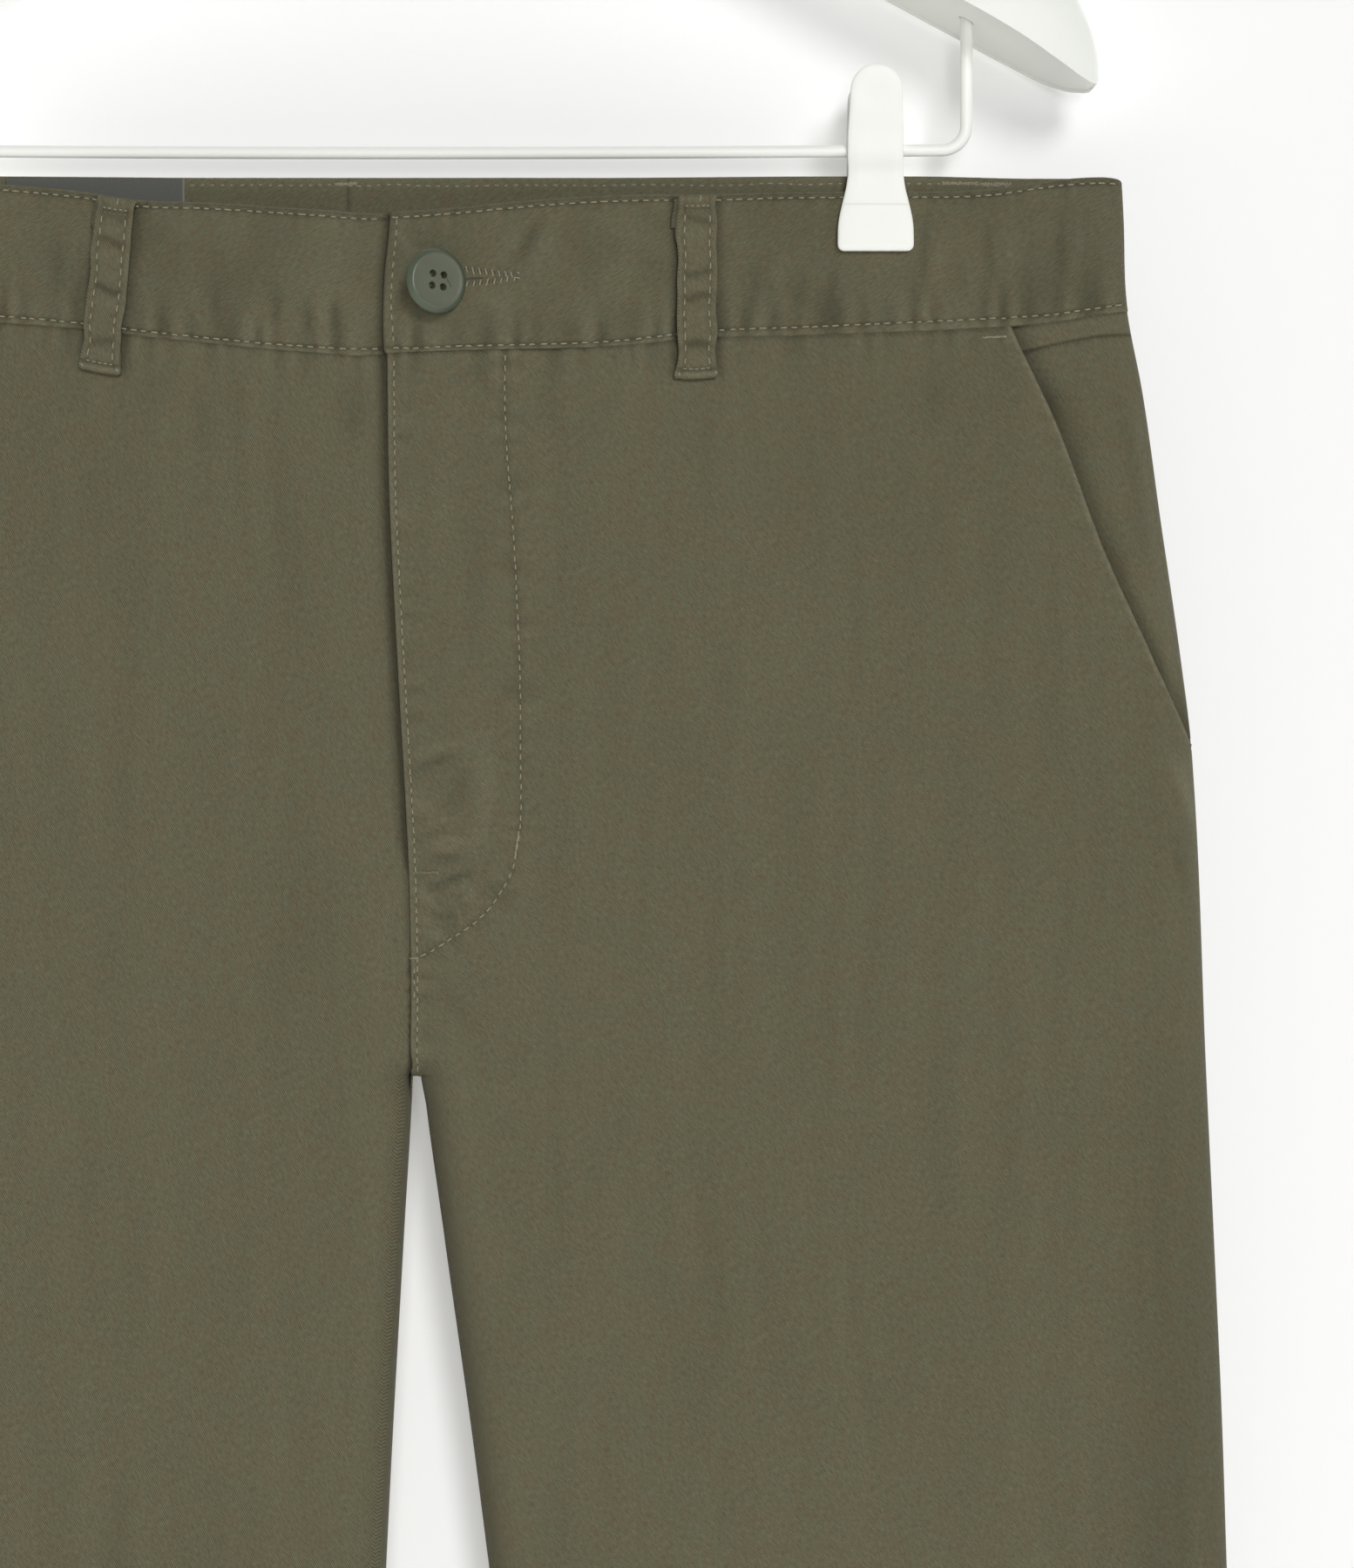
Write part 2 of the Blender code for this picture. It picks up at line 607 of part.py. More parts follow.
def make_button(scene):
    """Turned button with a raised rim and four holes, its left edge lifted off the band by its thread shank."""
    rim = np.array(BUTTON_PROFILE) * MM
    mesh = bpy.data.meshes.new("waist_button")
    mesh.from_pydata([(r, 0, h) for r, h in rim], [(i, i + 1) for i in range(len(rim) - 1)], [])
    made = add_object(scene, "waist_button", mesh, "button")
    turned = made.modifiers.new("turned", "SCREW")
    turned.steps = turned.render_steps = BUTTON_STEPS
    turned.use_merge_vertices = True
    turned.merge_threshold = MERGE_DISTANCE
    turned.use_smooth_shade = True
    band = cloth_points(BUTTON_X, BUTTON_LEVEL, "front", BAND_PROUD + BAND_LIFT)
    reach = np.max(rim[:, 0] * math.sin(BUTTON_TURN) - rim[:, 1] * math.cos(BUTTON_TURN))
    made.location = (BUTTON_X, float(band[1]) - reach - SEAM_GAP, float(band[2]))
    made.rotation_euler = (math.pi / 2, 0, BUTTON_TURN)
    for right in (-1, 1):
        for up in (-1, 1):
            place = (right * BUTTON_HOLE_OFFSET, up * BUTTON_HOLE_OFFSET, 0)
            bpy.ops.mesh.primitive_cylinder_add(
                vertices=8, radius=BUTTON_HOLE_RADIUS, depth=8 * MM, location=place
            )
            hole = make_cutter(scene, f"button_hole_{right}_{up}")
            hole.parent = made
            cut(made, hole)


# ---------------------------------------------------------------- hanger
def wire(scene, name, points, radius):
    """A round wire along a run of points."""
    data = bpy.data.curves.new(name, "CURVE")
    data.dimensions = "3D"
    data.bevel_depth = radius
    data.bevel_resolution = 2
    data.use_fill_caps = True
    run = data.splines.new("POLY")
    run.points.add(len(points) - 1)
    for point, place in zip(run.points, points):
        point.co = (*place, 1)
    return add_object(scene, name, data, "hanger")


def arm_underside(x):
    """Height of the arms' flat underside."""
    return ARM_UNDERSIDE_TOP - ARM_SLOPE * abs(x) - ARM_CURVE * x * x


def arm_height(x):
    """Height of the arms' section."""
    stations, _, heights, _ = np.array(ARM_SECTIONS).T * MM
    return float(np.interp(abs(x), stations, heights))


def make_hook(scene):
    """A question mark of wire: the shank up from the arms, then round over the rail."""
    middle = -(HOOK_RADIUS - HOOK_WIRE)
    turn = np.linspace(HOOK_START, HOOK_END, HOOK_POINTS)
    bow = [(HOOK_RADIUS * math.cos(a), 0, middle + HOOK_RADIUS * math.sin(a)) for a in turn]
    neck = arm_underside(0) + arm_height(0)
    shank = [(0, 0, neck - SHANK_SOCKET + SOCKET_CLEARANCE), (0, 0, neck + NECK_RISE)]
    shank += [(x * MM, 0, bow[0][2] + rise * MM) for x, rise in NECK]
    wire(scene, "hanger_hook", shank + bow, HOOK_WIRE)


def rod_level(x):
    return ROD_LEVEL - ROD_SAG * (1 - min(abs(x) / ROD_END_X, 1) ** 2)


def make_rod(scene):
    """The clip rod: a sagging run with both ends bent up into the arms."""
    straight = ROD_END_X - ROD_BEND
    run = [(x, 0, rod_level(x) - WAIST_DROP) for x in np.linspace(-straight, straight, 13)]
    bend = [
        (straight + ROD_BEND * math.sin(a), 0, run[-1][2] + ROD_BEND * (1 - math.cos(a)))
        for a in np.radians([22.5, 45, 67.5, 90])
    ]
    top = arm_underside(ROD_END_X) + ROD_SOCKET - SOCKET_CLEARANCE
    up = bend + [(ROD_END_X, 0, top)]
    down = [(-x, y, z) for x, y, z in reversed(up)]
    wire(scene, "clip_rod", down + run + up, ROD_RADIUS)


def drill(scene, name, x, low, high, radius):
    """A round cutter standing upright between two heights."""
    middle = (x, 0, (low + high) / 2)
    bpy.ops.mesh.primitive_cylinder_add(vertices=16, radius=radius, depth=high - low, location=middle)
    return make_cutter(scene, name)


def make_arms(scene):
    """Both arms as one body: a rounded loaf section over a flat underside, swept out and down to rounded tips."""
    angle = np.radians(np.linspace(0, 180, ARM_ROUND))
    across = np.sign(np.cos(angle)) * np.abs(np.cos(angle)) ** (2 / ARM_SQUARENESS) / 2
    above = np.abs(np.sin(angle)) ** (2 / ARM_SQUARENESS)
    x, width, height, rise = np.array(ARM_SECTIONS).T[:, :, None] * MM
    rings = np.stack([x + 0 * across, width * across, arm_underside(x) + rise + height * above], -1)
    count = len(ARM_SECTIONS)
    first = np.arange(count * ARM_ROUND).reshape(count, ARM_ROUND)
    second = np.roll(first, -1, axis=1)
    sides = np.stack([first[:-1], second[:-1], second[1:], first[1:]], -1).reshape(-1, 4)
    mesh = bpy.data.meshes.new("hanger_arms")
    mesh.from_pydata(rings.reshape(-1, 3).tolist(), [], sides.tolist() + [first[-1].tolist()])
    made = add_object(scene, "hanger_arms", mesh, "hanger")
    both = made.modifiers.new("both arms", "MIRROR")
    both.use_axis = (True, False, False)
    both.merge_threshold = MERGE_DISTANCE
    socket = arm_underside(ROD_END_X)
    for side, x in (("left", ROD_END_X), ("right", -ROD_END_X)):
        top = socket + ROD_SOCKET
        cut(made, drill(scene, "rod_socket_" + side, x, socket - DRILL_PAST, top, ROD_RADIUS + SOCKET_CLEARANCE))
    neck = arm_underside(0) + arm_height(0)
    radius = HOOK_WIRE + SOCKET_CLEARANCE
    cut(made, drill(scene, "shank_socket", 0, neck - SHANK_SOCKET, neck + DRILL_PAST, radius))
    mesh.set_sharp_from_angle(angle=math.radians(40))


def make_clips(scene):
    """Two clips, each a front and a back plate that hold the rod and the waistband between them."""
    level, half, further = (np.array(CLIP_PLATE).T * MM)[:, :, None]
    across = np.array(CLIP_ACROSS)[None, :]
    for clip, sign in (("left", 1), ("right", -1)):
        for side in ("front", "back"):
            facing = FACING[side]
            x = sign * CLIP_X + half * across
            y = facing * (JAW_FACE + further + CLIP_THICKNESS) + 0 * x
            points = np.stack([x, y, level - WAIST_DROP + 0 * x], -1)
            cloth_piece(scene, f"clip_{clip}_{side}", points, side, CLIP_THICKNESS, "hanger")


def main():
    scene = start_scene()
    front_trim, back_trim = half_space(scene, "front"), half_space(scene, "back")
    make_fronts(scene, front_trim)
    make_backs(scene, back_trim)
    make_pocket_facings(scene, front_trim)
    make_zip(scene)
    make_waistband(scene, "waistband_left", BAND_END_X, 1)
    make_waistband(scene, "waistband_right", BAND_UNDERLAP_X, -1)
    for name, (top_x, bottom_x, side) in LOOPS.items():
        make_belt_loop(scene, name, top_x, bottom_x, side)
    make_label(scene)
    make_button(scene)
    make_arms(scene)
    make_hook(scene)
    make_rod(scene)
    make_clips(scene)


main()
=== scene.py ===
"""Looks of cotton-twill chino shorts, hung by the waistband from a white clip hanger.

The script's own unit is the millimetre, which add_piece() turns into metres; only the studio is in metres.
+Z is up, the front looks along -Y and the wearer's left is +X. A level is a height over the line of the
waist, which hangs GarmentForm.drop under the origin. Every cloth piece is worked out on the same pair of
surfaces as its solid, as a lift off that surface, and its sewing is laid on the same lift.
"""
import logging
import math
from dataclasses import dataclass, field, replace
from enum import Enum
from typing import Callable, Sequence

import bpy
import numpy as np
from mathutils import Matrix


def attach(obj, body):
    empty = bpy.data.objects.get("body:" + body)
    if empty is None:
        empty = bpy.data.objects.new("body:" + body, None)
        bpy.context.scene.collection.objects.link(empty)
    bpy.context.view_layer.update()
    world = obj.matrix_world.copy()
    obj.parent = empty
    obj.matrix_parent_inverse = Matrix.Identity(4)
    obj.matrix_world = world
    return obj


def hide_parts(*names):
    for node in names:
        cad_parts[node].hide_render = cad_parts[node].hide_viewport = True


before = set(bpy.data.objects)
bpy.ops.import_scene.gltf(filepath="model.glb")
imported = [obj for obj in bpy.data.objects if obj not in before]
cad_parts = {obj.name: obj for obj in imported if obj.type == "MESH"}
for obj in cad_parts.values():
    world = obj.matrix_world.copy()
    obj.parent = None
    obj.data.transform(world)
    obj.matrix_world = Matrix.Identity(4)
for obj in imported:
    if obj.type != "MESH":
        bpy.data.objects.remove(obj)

Array = np.ndarray
Line = Callable[[Array], Array]
Surface = Callable[[Array, Array], Array]
Triple = tuple[float, float, float]
Socket, Material, Object = bpy.types.NodeSocket, bpy.types.Material, bpy.types.Object
Seam = tuple[Array, Array, Array]
Table = tuple[tuple[float, ...], ...]

MM = 0.001
BODY = "root"
log = logging.getLogger("chino_shorts")


# ---------------------------------------------------------------- shapes of curves
def bell(distance: Array, width: float) -> Array:
    """1 at 0 and falling evenly to both sides: e to the minus square of distance / width."""
    return np.exp(-((distance / width) ** 2))


def smoothstep(t: Array) -> Array:
    """0 below 0, 1 above 1 and level at both ends."""
    t = np.clip(t, 0.0, 1.0)
    return t * t * (3 - 2 * t)


@dataclass(frozen=True)
class Curve:
    """A smooth curve through a short table, held at its end values.

    Between two rows it is the cubic that has their values and the table's mean slopes there.
    """

    rows: Table
    column: int = 1

    def __call__(self, at: Array) -> Array:
        """Value at a place."""
        rows = sorted(self.rows)
        places = np.array([row[0] for row in rows])
        values = np.array([row[self.column] for row in rows])
        slopes = np.gradient(values, places)
        at = np.clip(np.asarray(at, float), places[0], places[-1])
        i = np.clip(np.searchsorted(places, at) - 1, 0, len(places) - 2)
        span = places[i + 1] - places[i]
        t = (at - places[i]) / span
        return (
            values[i] * (1 + 2 * t) * (1 - t) ** 2
            + slopes[i] * span * t * (1 - t) ** 2
            + values[i + 1] * t * t * (3 - 2 * t)
            - slopes[i + 1] * span * t * t * (1 - t)
        )


def stations(start: float, end: float, steps: Table) -> Array:
    """Places from start to end whose spacing follows a table.

    The running sum of 1 / step says how many steps fit before each place; equal shares of it give the places.

    Args:
        start, end: first and last place.
        steps: rows of place and step.

    Returns:
        The places, from start to end.
    """
    fine = np.linspace(start, end, 4000)
    places, widths = np.array(sorted(steps)).T
    density = 1 / np.interp(fine, places, widths)
    run = np.concatenate([[0], np.cumsum((density[1:] + density[:-1]) / 2 * abs(fine[1] - fine[0]))])
    count = max(int(round(run[-1])), 1)
    return np.interp(np.linspace(0, run[-1], count + 1), run, fine)


def ripple(along: Array, pitch: float, phase: float) -> Array:
    """An uneven wave: a sine of the given pitch whose phase wanders and whose size swells and fades."""
    turn = 2 * np.pi * along / pitch
    wander = 1.3 * np.sin(turn / 4.3 + phase) + 0.9 * np.sin(turn / 2.3 + 2.1 * phase)
    size = 0.6 + 0.4 * np.sin(turn / 2.9 + 1.7 * phase)
    return size * np.sin(turn + wander + phase)


def creases(x: Array, level: Array, rows: Table) -> Array:
    """Soft ridges and troughs: each is a bell across its line and fades to nothing at its two ends.

    Args:
        x, level: where.
        rows: x, level, degrees from +X, half length, half breadth, height (a trough is negative).

    Returns:
        The height of all of them together.
    """
    total = np.zeros(np.broadcast(x, level).shape)
    for at, middle, degrees, half_length, half_breadth, height in rows:
        turn = math.radians(degrees)
        right, up = x - at, level - middle
        along = (right * math.cos(turn) + up * math.sin(turn)) / half_length
        across = (up * math.cos(turn) - right * math.sin(turn)) / half_breadth
        total = total + height * bell(across, 1) * np.clip(1 - along * along, 0, None) ** 2
    return total


def crease_paling_and_shade(x: Array, level: Array, rows: Table) -> Array:
    """How the narrow creases of a table are shaded: their ridges are painted pale, partly as dye thinned in
    the wash and partly as painted highlight, their troughs dark as painted shade.
    """
    narrow = tuple(row for row in rows if row[4] < 3.3)
    return np.clip(creases(x, level, narrow) / 0.66, -0.42, 0.45)


def streaks(x: Array, level: Array, phase: float) -> Array:
    """Faint upright streaks of the wash, 5 to 13 mm wide, which wander and fade in and out along their
    length."""
    total = np.zeros(np.broadcast(x, level).shape)
    for number, pitch in enumerate((10.5, 16.0, 26.0)):
        wander = 3.5 * np.sin(level / 31 + 1.7 * number + phase + x / 47)
        patch = 0.5 + 0.5 * ripple(level + 0.7 * x, 83, phase + number)
        total = total + patch * ripple(x + wander, pitch, phase + 1.3 * number)
    return 0.075 * total


# Broad soft undulation of washed twill: wave length, degrees from +X, height
CRUMPLE = (
    (61, 8, 0.16), (43, 96, 0.10), (33, -28, 0.10), (24, 62, 0.07), (17, 12, 0.05), (12.5, -52, 0.035),
    (9, 78, 0.025),
)


def crumple(x: Array, level: Array, phase: float) -> Array:
    """The sum of uneven waves in several directions."""
    total = np.zeros(np.broadcast(x, level).shape)
    for number, (pitch, degrees, height) in enumerate(CRUMPLE):
        turn = math.radians(degrees)
        along = x * math.cos(turn) + level * math.sin(turn)
        across = level * math.cos(turn) - x * math.sin(turn)
        patch = 0.7 + 0.3 * np.sin(2 * np.pi * across / (2.7 * pitch) + phase * (number + 1))
        total = total + height * patch * ripple(along, pitch, phase + 1.9 * number)
    return total


# ---------------------------------------------------------------- the garment's form
class Side(Enum):
    """The two faces of the shorts, by the way each looks along Y."""

    FRONT = -1.0
    BACK = 1.0


# Silhouette: level, centre line, half width, half the gap between the legs
SILHOUETTE = (
    (5, 0.0, 203.8, 0.0), (-12, 0.0, 204.7, 0.0), (-36, 0.0, 205.6, 0.0), (-62, 0.0, 210.3, 0.0),
    (-99, 0.1, 215.4, 0.0), (-137, 0.3, 220.7, 0.0), (-162, 0.6, 223.5, 0.0), (-176, 0.9, 224.2, 0.0),
    (-257, 2.4, 226.1, 1.4), (-304, 4.2, 226.5, 5.8), (-361, 6.6, 226.6, 11.4), (-399, 8.1, 226.3, 14.8),
    (-487, 12.3, 225.5, 22.5),
)
# Long soft folds: x, level at the middle, half breadth, half length, how far it sinks (a ridge is negative)
FRONT_FOLDS = (
    (84, -315, 20, 80, 1.1), (150, -400, 24, 75, -0.8), (200, -340, 16, 110, 1.2), (118, -150, 26, 45, 0.7),
    (-62, -300, 22, 75, 1.0), (-128, -390, 26, 80, -0.8), (-186, -330, 18, 100, 1.1),
    (-100, -140, 28, 40, 0.7),
)
BACK_FOLDS = (
    (96, -330, 24, 85, 1.2), (176, -390, 26, 80, 1.0), (44, -190, 26, 45, 0.9), (140, -205, 22, 60, -0.7),
    (-84, -320, 24, 85, 1.1), (-160, -400, 26, 80, 1.0), (-52, -185, 26, 45, 0.9), (-140, -215, 22, 60, -0.7),
)
# Front waistband: x, level of the top edge, level of the lower seam
FRONT_WAIST = (
    (-206, -0.9, -39.1), (-184, -1.9, -41.3), (-152, -2.0, -41.9), (-114, -2.6, -42.6), (-91, -5.4, -44.8),
    (-78, -7.8, -46.6), (-54, -9.2, -49.4), (-29, -10.8, -51.7), (-10, -11.9, -52.6), (-5, -11.8, -52.2),
    (16, -10.5, -51.3), (30, -9.1, -51.0), (57, -7.1, -50.1), (88, -5.9, -47.0), (105, -4.9, -46.3),
    (141, -4.4, -44.9), (160, -4.4, -44.2), (169, -4.0, -43.9), (175, -3.2, -43.5), (183, -2.1, -42.9),
    (190, -1.4, -41.8), (206, -0.9, -39.1),
)


@dataclass(frozen=True)
class GarmentForm:
    """The pair of surfaces that all the cloth lies on, closed at the side seams, the inseams and the
    crotch."""

    drop: float = 207.0
    hem: float = -487.0
    crotch: float = -257.4
    crotch_fade: float = 10.0
    back_top: float = 0.4
    corner_dip: float = 0.7
    back_seam: float = -39.1
    clip_x: float = 133.5
    pinch_depth: float = 2.1
    pinch_half_width: float = 11.5
    pinch_reach: float = 70.0
    pinch_bottom: float = -24.0
    pinch_fade: float = -130.0
    body_depth: tuple[float, float] = (11, 12)
    waist_depth: tuple[float, float] = (11, 4.5)
    waist_end_depth: float = 6.0
    side_round: float = 14.0
    waist_side_round: float = 8.0
    crotch_round: float = 12.0
    centre: Curve = Curve(SILHOUETTE, 1)
    half_width: Curve = Curve(SILHOUETTE, 2)
    gap: Curve = Curve(SILHOUETTE, 3)
    top: Curve = Curve(FRONT_WAIST, 1)
    seam: Curve = Curve(FRONT_WAIST, 2)

    def half_gap(self, level: Array) -> Array:
        """Half the gap between the legs, none above the crotch."""
        return np.where(level > self.crotch, 0.0, np.maximum(self.gap(level), 0.0))

    def to_crotch(self, x: Array, level: Array) -> Array:
        """Distance from the crotch or, below it, from the nearer inseam."""
        gap = np.maximum(self.gap(np.minimum(level, self.crotch)), 0)
        beyond_gap = np.maximum(np.abs(x - self.centre(level)) - gap, 0)
        return np.hypot(beyond_gap, np.maximum(level - self.crotch, 0))

    def side_edge(self, level: Array) -> Array:
        """x of the wearer's left side seam."""
        return self.centre(level) + self.half_width(level)

    def top_level(self, x: Array, side: Side) -> Array:
        """Level of the waistband's top edge; front and back meet half way at the side folds."""
        met = smoothstep((np.abs(x) - 190) / 13) / 2
        front, back = self.top(x), self.back_top
        return front + (back - front) * (met if side is Side.FRONT else 1 - met) - self.corner_dip * 2 * met

    def seam_level(self, x: Array, side: Side) -> Array:
        """Level of the waistband's lower seam."""
        return self.seam(x) if side is Side.FRONT else np.full(np.shape(x), self.back_seam)

    def _opening(self, x: Array, side: Side) -> Array:
        """Depth of the waistband: flat in the jaws, bowed between them and open at the sides."""
        between = np.abs(x) < self.clip_x
        opened = np.where(between, self.waist_depth[side is Side.BACK], self.waist_end_depth)
        beyond = np.abs(np.abs(x) - self.clip_x) - self.pinch_half_width
        reach = np.where(between, self.pinch_reach, (self.half_width(0) - self.clip_x) / 2)
        return self.pinch_depth + (opened - self.pinch_depth) * smoothstep(beyond / reach)

    def _folds_sink(self, x: Array, level: Array, side: Side) -> Array:
        """How far the long soft folds sink the surface: a rounded bump across and along each."""
        sunk = np.zeros(np.broadcast(x, level).shape)
        for at, middle, half_breadth, half_length, deep in FRONT_FOLDS if side is Side.FRONT else BACK_FOLDS:
            across, along = (x - at) / half_breadth, (level - middle) / half_length
            sunk = sunk + deep * bell(across, 1) * bell(along, 1)
        return sunk

    def depth(self, x: Array, level: Array, side: Side) -> Array:
        """Distance of the front or back surface from the middle plane: the body's or the waistband's depth,
        brought to nothing along quarters of an ellipse at the side seams, the inseams and the crotch."""
        def rounded(distance: Array, radius: Array) -> Array:
            """A quarter of an ellipse, from 0 at the seam to 1 at the radius."""
            return np.sqrt(1 - (1 - np.clip(distance / radius, 0.0, 1.0)) ** 2)

        held = smoothstep((level - self.pinch_fade) / (self.pinch_bottom - self.pinch_fade))
        body = self.body_depth[side is Side.BACK]
        full = body + (self._opening(x, side) - body) * held
        from_centre = np.abs(x - self.centre(level))
        side_round = self.side_round + (self.waist_side_round - self.side_round) * held
        return (
            (full - self._folds_sink(x, level, side))
            * rounded(self.half_width(level) - from_centre, side_round)
            * rounded(self.to_crotch(x, level), self.crotch_round)
        )

    def points(self, x: Array, level: Array, side: Side, lift: Array = 0.0) -> Array:
        """Points of one surface, moved out along its normal, which the slopes of depth() give.

        Args:
            x, level: where.
            side: front or back.
            lift: how far out of the surface.

        Returns:
            Points round the part's origin, with a last axis of 3.
        """
        x, level, lift = np.broadcast_arrays(x, level, lift)
        step = 0.05
        across = (self.depth(x + step, level, side) - self.depth(x - step, level, side)) / (2 * step)
        up = (self.depth(x, level + step, side) - self.depth(x, level - step, side)) / (2 * step)
        normal = np.stack([-across, np.full(x.shape, side.value), -up], -1)
        normal /= np.linalg.norm(normal, axis=-1, keepdims=True)
        surface = np.stack([x, side.value * self.depth(x, level, side), level - self.drop], -1)
        return surface + lift[..., None] * normal


# ---------------------------------------------------------------- putting pieces into the scene
def grid_faces(rows: int, columns: int, closed: bool = False, flip: bool = False) -> Array:
    """Quads over a grid of points, rows down and columns across, facing -Y unless flipped.

    Args:
        rows, columns: the grid's counts.
        closed: the last column joins the first.
        flip: turns the faces round.

    Returns:
        One row of four vertex numbers for each face.
    """
    index = np.arange(rows * columns).reshape(rows, columns)
    if closed:
        index = np.concatenate([index, index[:, :1]], axis=1)
    quads = np.stack([index[:-1, :-1], index[1:, :-1], index[1:, 1:], index[:-1, 1:]], -1).reshape(-1, 4)
    return quads[:, ::-1] if flip else quads


def loft_faces(rows: int, columns: int, flip: bool = False) -> list:
    """Faces over rings of points: closed round each ring, with a cap at both ends; flip turns them round."""
    last = (rows - 1) * columns
    caps = [list(range(columns)), [last + i for i in range(columns)][::-1]]
    sides = grid_faces(rows, columns, closed=True, flip=flip).tolist()
    return sides + [cap[::-1] if flip else cap for cap in caps]


def cloth_length(points: Array, axis: int, start: Array) -> Array:
    """Distance along the cloth in one direction of a grid, from a given value at its first row or column."""
    steps = np.linalg.norm(np.diff(points, axis=axis), axis=-1)
    return start + np.insert(np.cumsum(steps, axis=axis), 0, 0.0, axis=axis)


def weave_uv(across: Array, down: Array, degrees: float) -> Array:
    """Turns places on the cloth into the weave's own directions: across the twill's ribs, and along them.

    Args:
        across, down: distances over the cloth, to the right and upwards.
        degrees: how far below +X the ribs run.

    Returns:
        The two coordinates.
    """
    turn = math.radians(degrees)
    return np.stack(
        [across * math.sin(turn) + down * math.cos(turn), across * math.cos(turn) - down * math.sin(turn)], -1
    )


def add_piece(
    name: str,
    points: Array,
    faces: Sequence,
    finish: Material,
    replaces: Sequence[str] = (),
    uv: Array | None = None,
    wear_and_shading: Array | None = None,
    smooth: bool = True,
) -> Object:
    """Makes a mesh piece at the origin, dresses it and lets it ride on the part.

    Args:
        name: the piece's name.
        points: its vertices.
        faces: its faces.
        finish: its material.
        replaces: the solids that it stands for.
        uv: weave coordinates of each vertex.
        wear_and_shading: per vertex, paler above 0 for the wash's paling and painted highlights, darker below
            0 for painted shade.
        smooth: whether it is shaded smooth.

    Returns:
        The piece.
    """
    mesh = bpy.data.meshes.new(name)
    mesh.from_pydata(
        (np.asarray(points).reshape(-1, 3) * MM).tolist(), [], [list(map(int, face)) for face in faces]
    )
    if uv is not None:
        corner = np.empty(len(mesh.loops), np.int32)
        mesh.loops.foreach_get("vertex_index", corner)
        layer = mesh.uv_layers.new(name="weave")
        layer.data.foreach_set("uv", (uv.reshape(-1, 2)[corner] * MM).astype(np.float32).ravel())
    # The attribute carries painted light and shade as well as the wash's real paling.
    rubbed_and_lit = mesh.attributes.new("wear_and_shading", "FLOAT", "POINT")
    rubbed_and_lit.data.foreach_set(
        "value", np.broadcast_to(0.0 if wear_and_shading is None else wear_and_shading.ravel(), len(mesh.vertices))
    )
    if smooth:
        mesh.shade_smooth()
    piece = bpy.data.objects.new(name, mesh)
    bpy.context.scene.collection.objects.link(piece)
    mesh.materials.append(finish)
    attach(piece, BODY)
    if replaces:
        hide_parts(*replaces)
    log.info("%s: %d faces", name, len(faces))
    return piece


def thicken(piece: Object, thickness: float) -> None:
    """Gives an open surface its thickness, inwards."""
    wall = piece.modifiers.new("cloth", "SOLIDIFY")
    wall.thickness = thickness * MM
    wall.offset = -1


def carve(piece: Object, cutters: Sequence[Object]) -> None:
    """Cuts solids out of a piece and keeps the result as its own mesh."""
    for cutter in cutters:
        cut = piece.modifiers.new(cutter.name, "BOOLEAN")
        cut.operation = "DIFFERENCE"
        cut.solver = "EXACT"
        cut.object = cutter
    graph = bpy.context.evaluated_depsgraph_get()
    finished = bpy.data.meshes.new_from_object(piece.evaluated_get(graph))
    piece.modifiers.clear()
    piece.data = finished
    for cutter in cutters:
        bpy.data.objects.remove(cutter, do_unlink=True)


def round_cutter(name: str, foot: Array, head: Array, radius: float, sides: int = 24) -> Object:
    """A closed round bar between two points, for carve()."""
    points, faces = Tube(radius, sides).along(np.array([foot, head]))
    mesh = bpy.data.meshes.new(name)
    mesh.from_pydata((points * MM).tolist(), [], faces)
    bar = bpy.data.objects.new(name, mesh)
    bpy.context.scene.collection.objects.link(bar)
    return bar


@dataclass(frozen=True)
class Tube:
    """A round bar swept along a path."""

    radius: float
    sides: int = 16

    def along(self, path: Array, radii: Array | None = None) -> tuple[Array, list]:
        """Rings square to the path, each turned as little as it can be from the one before.

        Args:
            path: points of the centre line.
            radii: the radius at each point, or this tube's own.

        Returns:
            Points and faces, with both ends closed.
        """
        tangent = np.gradient(path, axis=0)
        tangent /= np.linalg.norm(tangent, axis=1, keepdims=True)
        side = np.array([0.0, 1.0, 0.0]) if abs(tangent[0, 1]) < 0.9 else np.array([1.0, 0.0, 0.0])
        out = np.cross(tangent, side)
        out /= np.linalg.norm(out, axis=1, keepdims=True)
        over = np.cross(tangent, out)
        turn = np.linspace(0, 2 * np.pi, self.sides, endpoint=False)
        reach = np.full(len(path), self.radius) if radii is None else radii
        circle = out[:, None] * np.cos(turn)[None, :, None] + over[:, None] * np.sin(turn)[None, :, None]
        points = (path[:, None] + reach[:, None, None] * circle).reshape(-1, 3)
        return points, loft_faces(len(path), self.sides, flip=True)


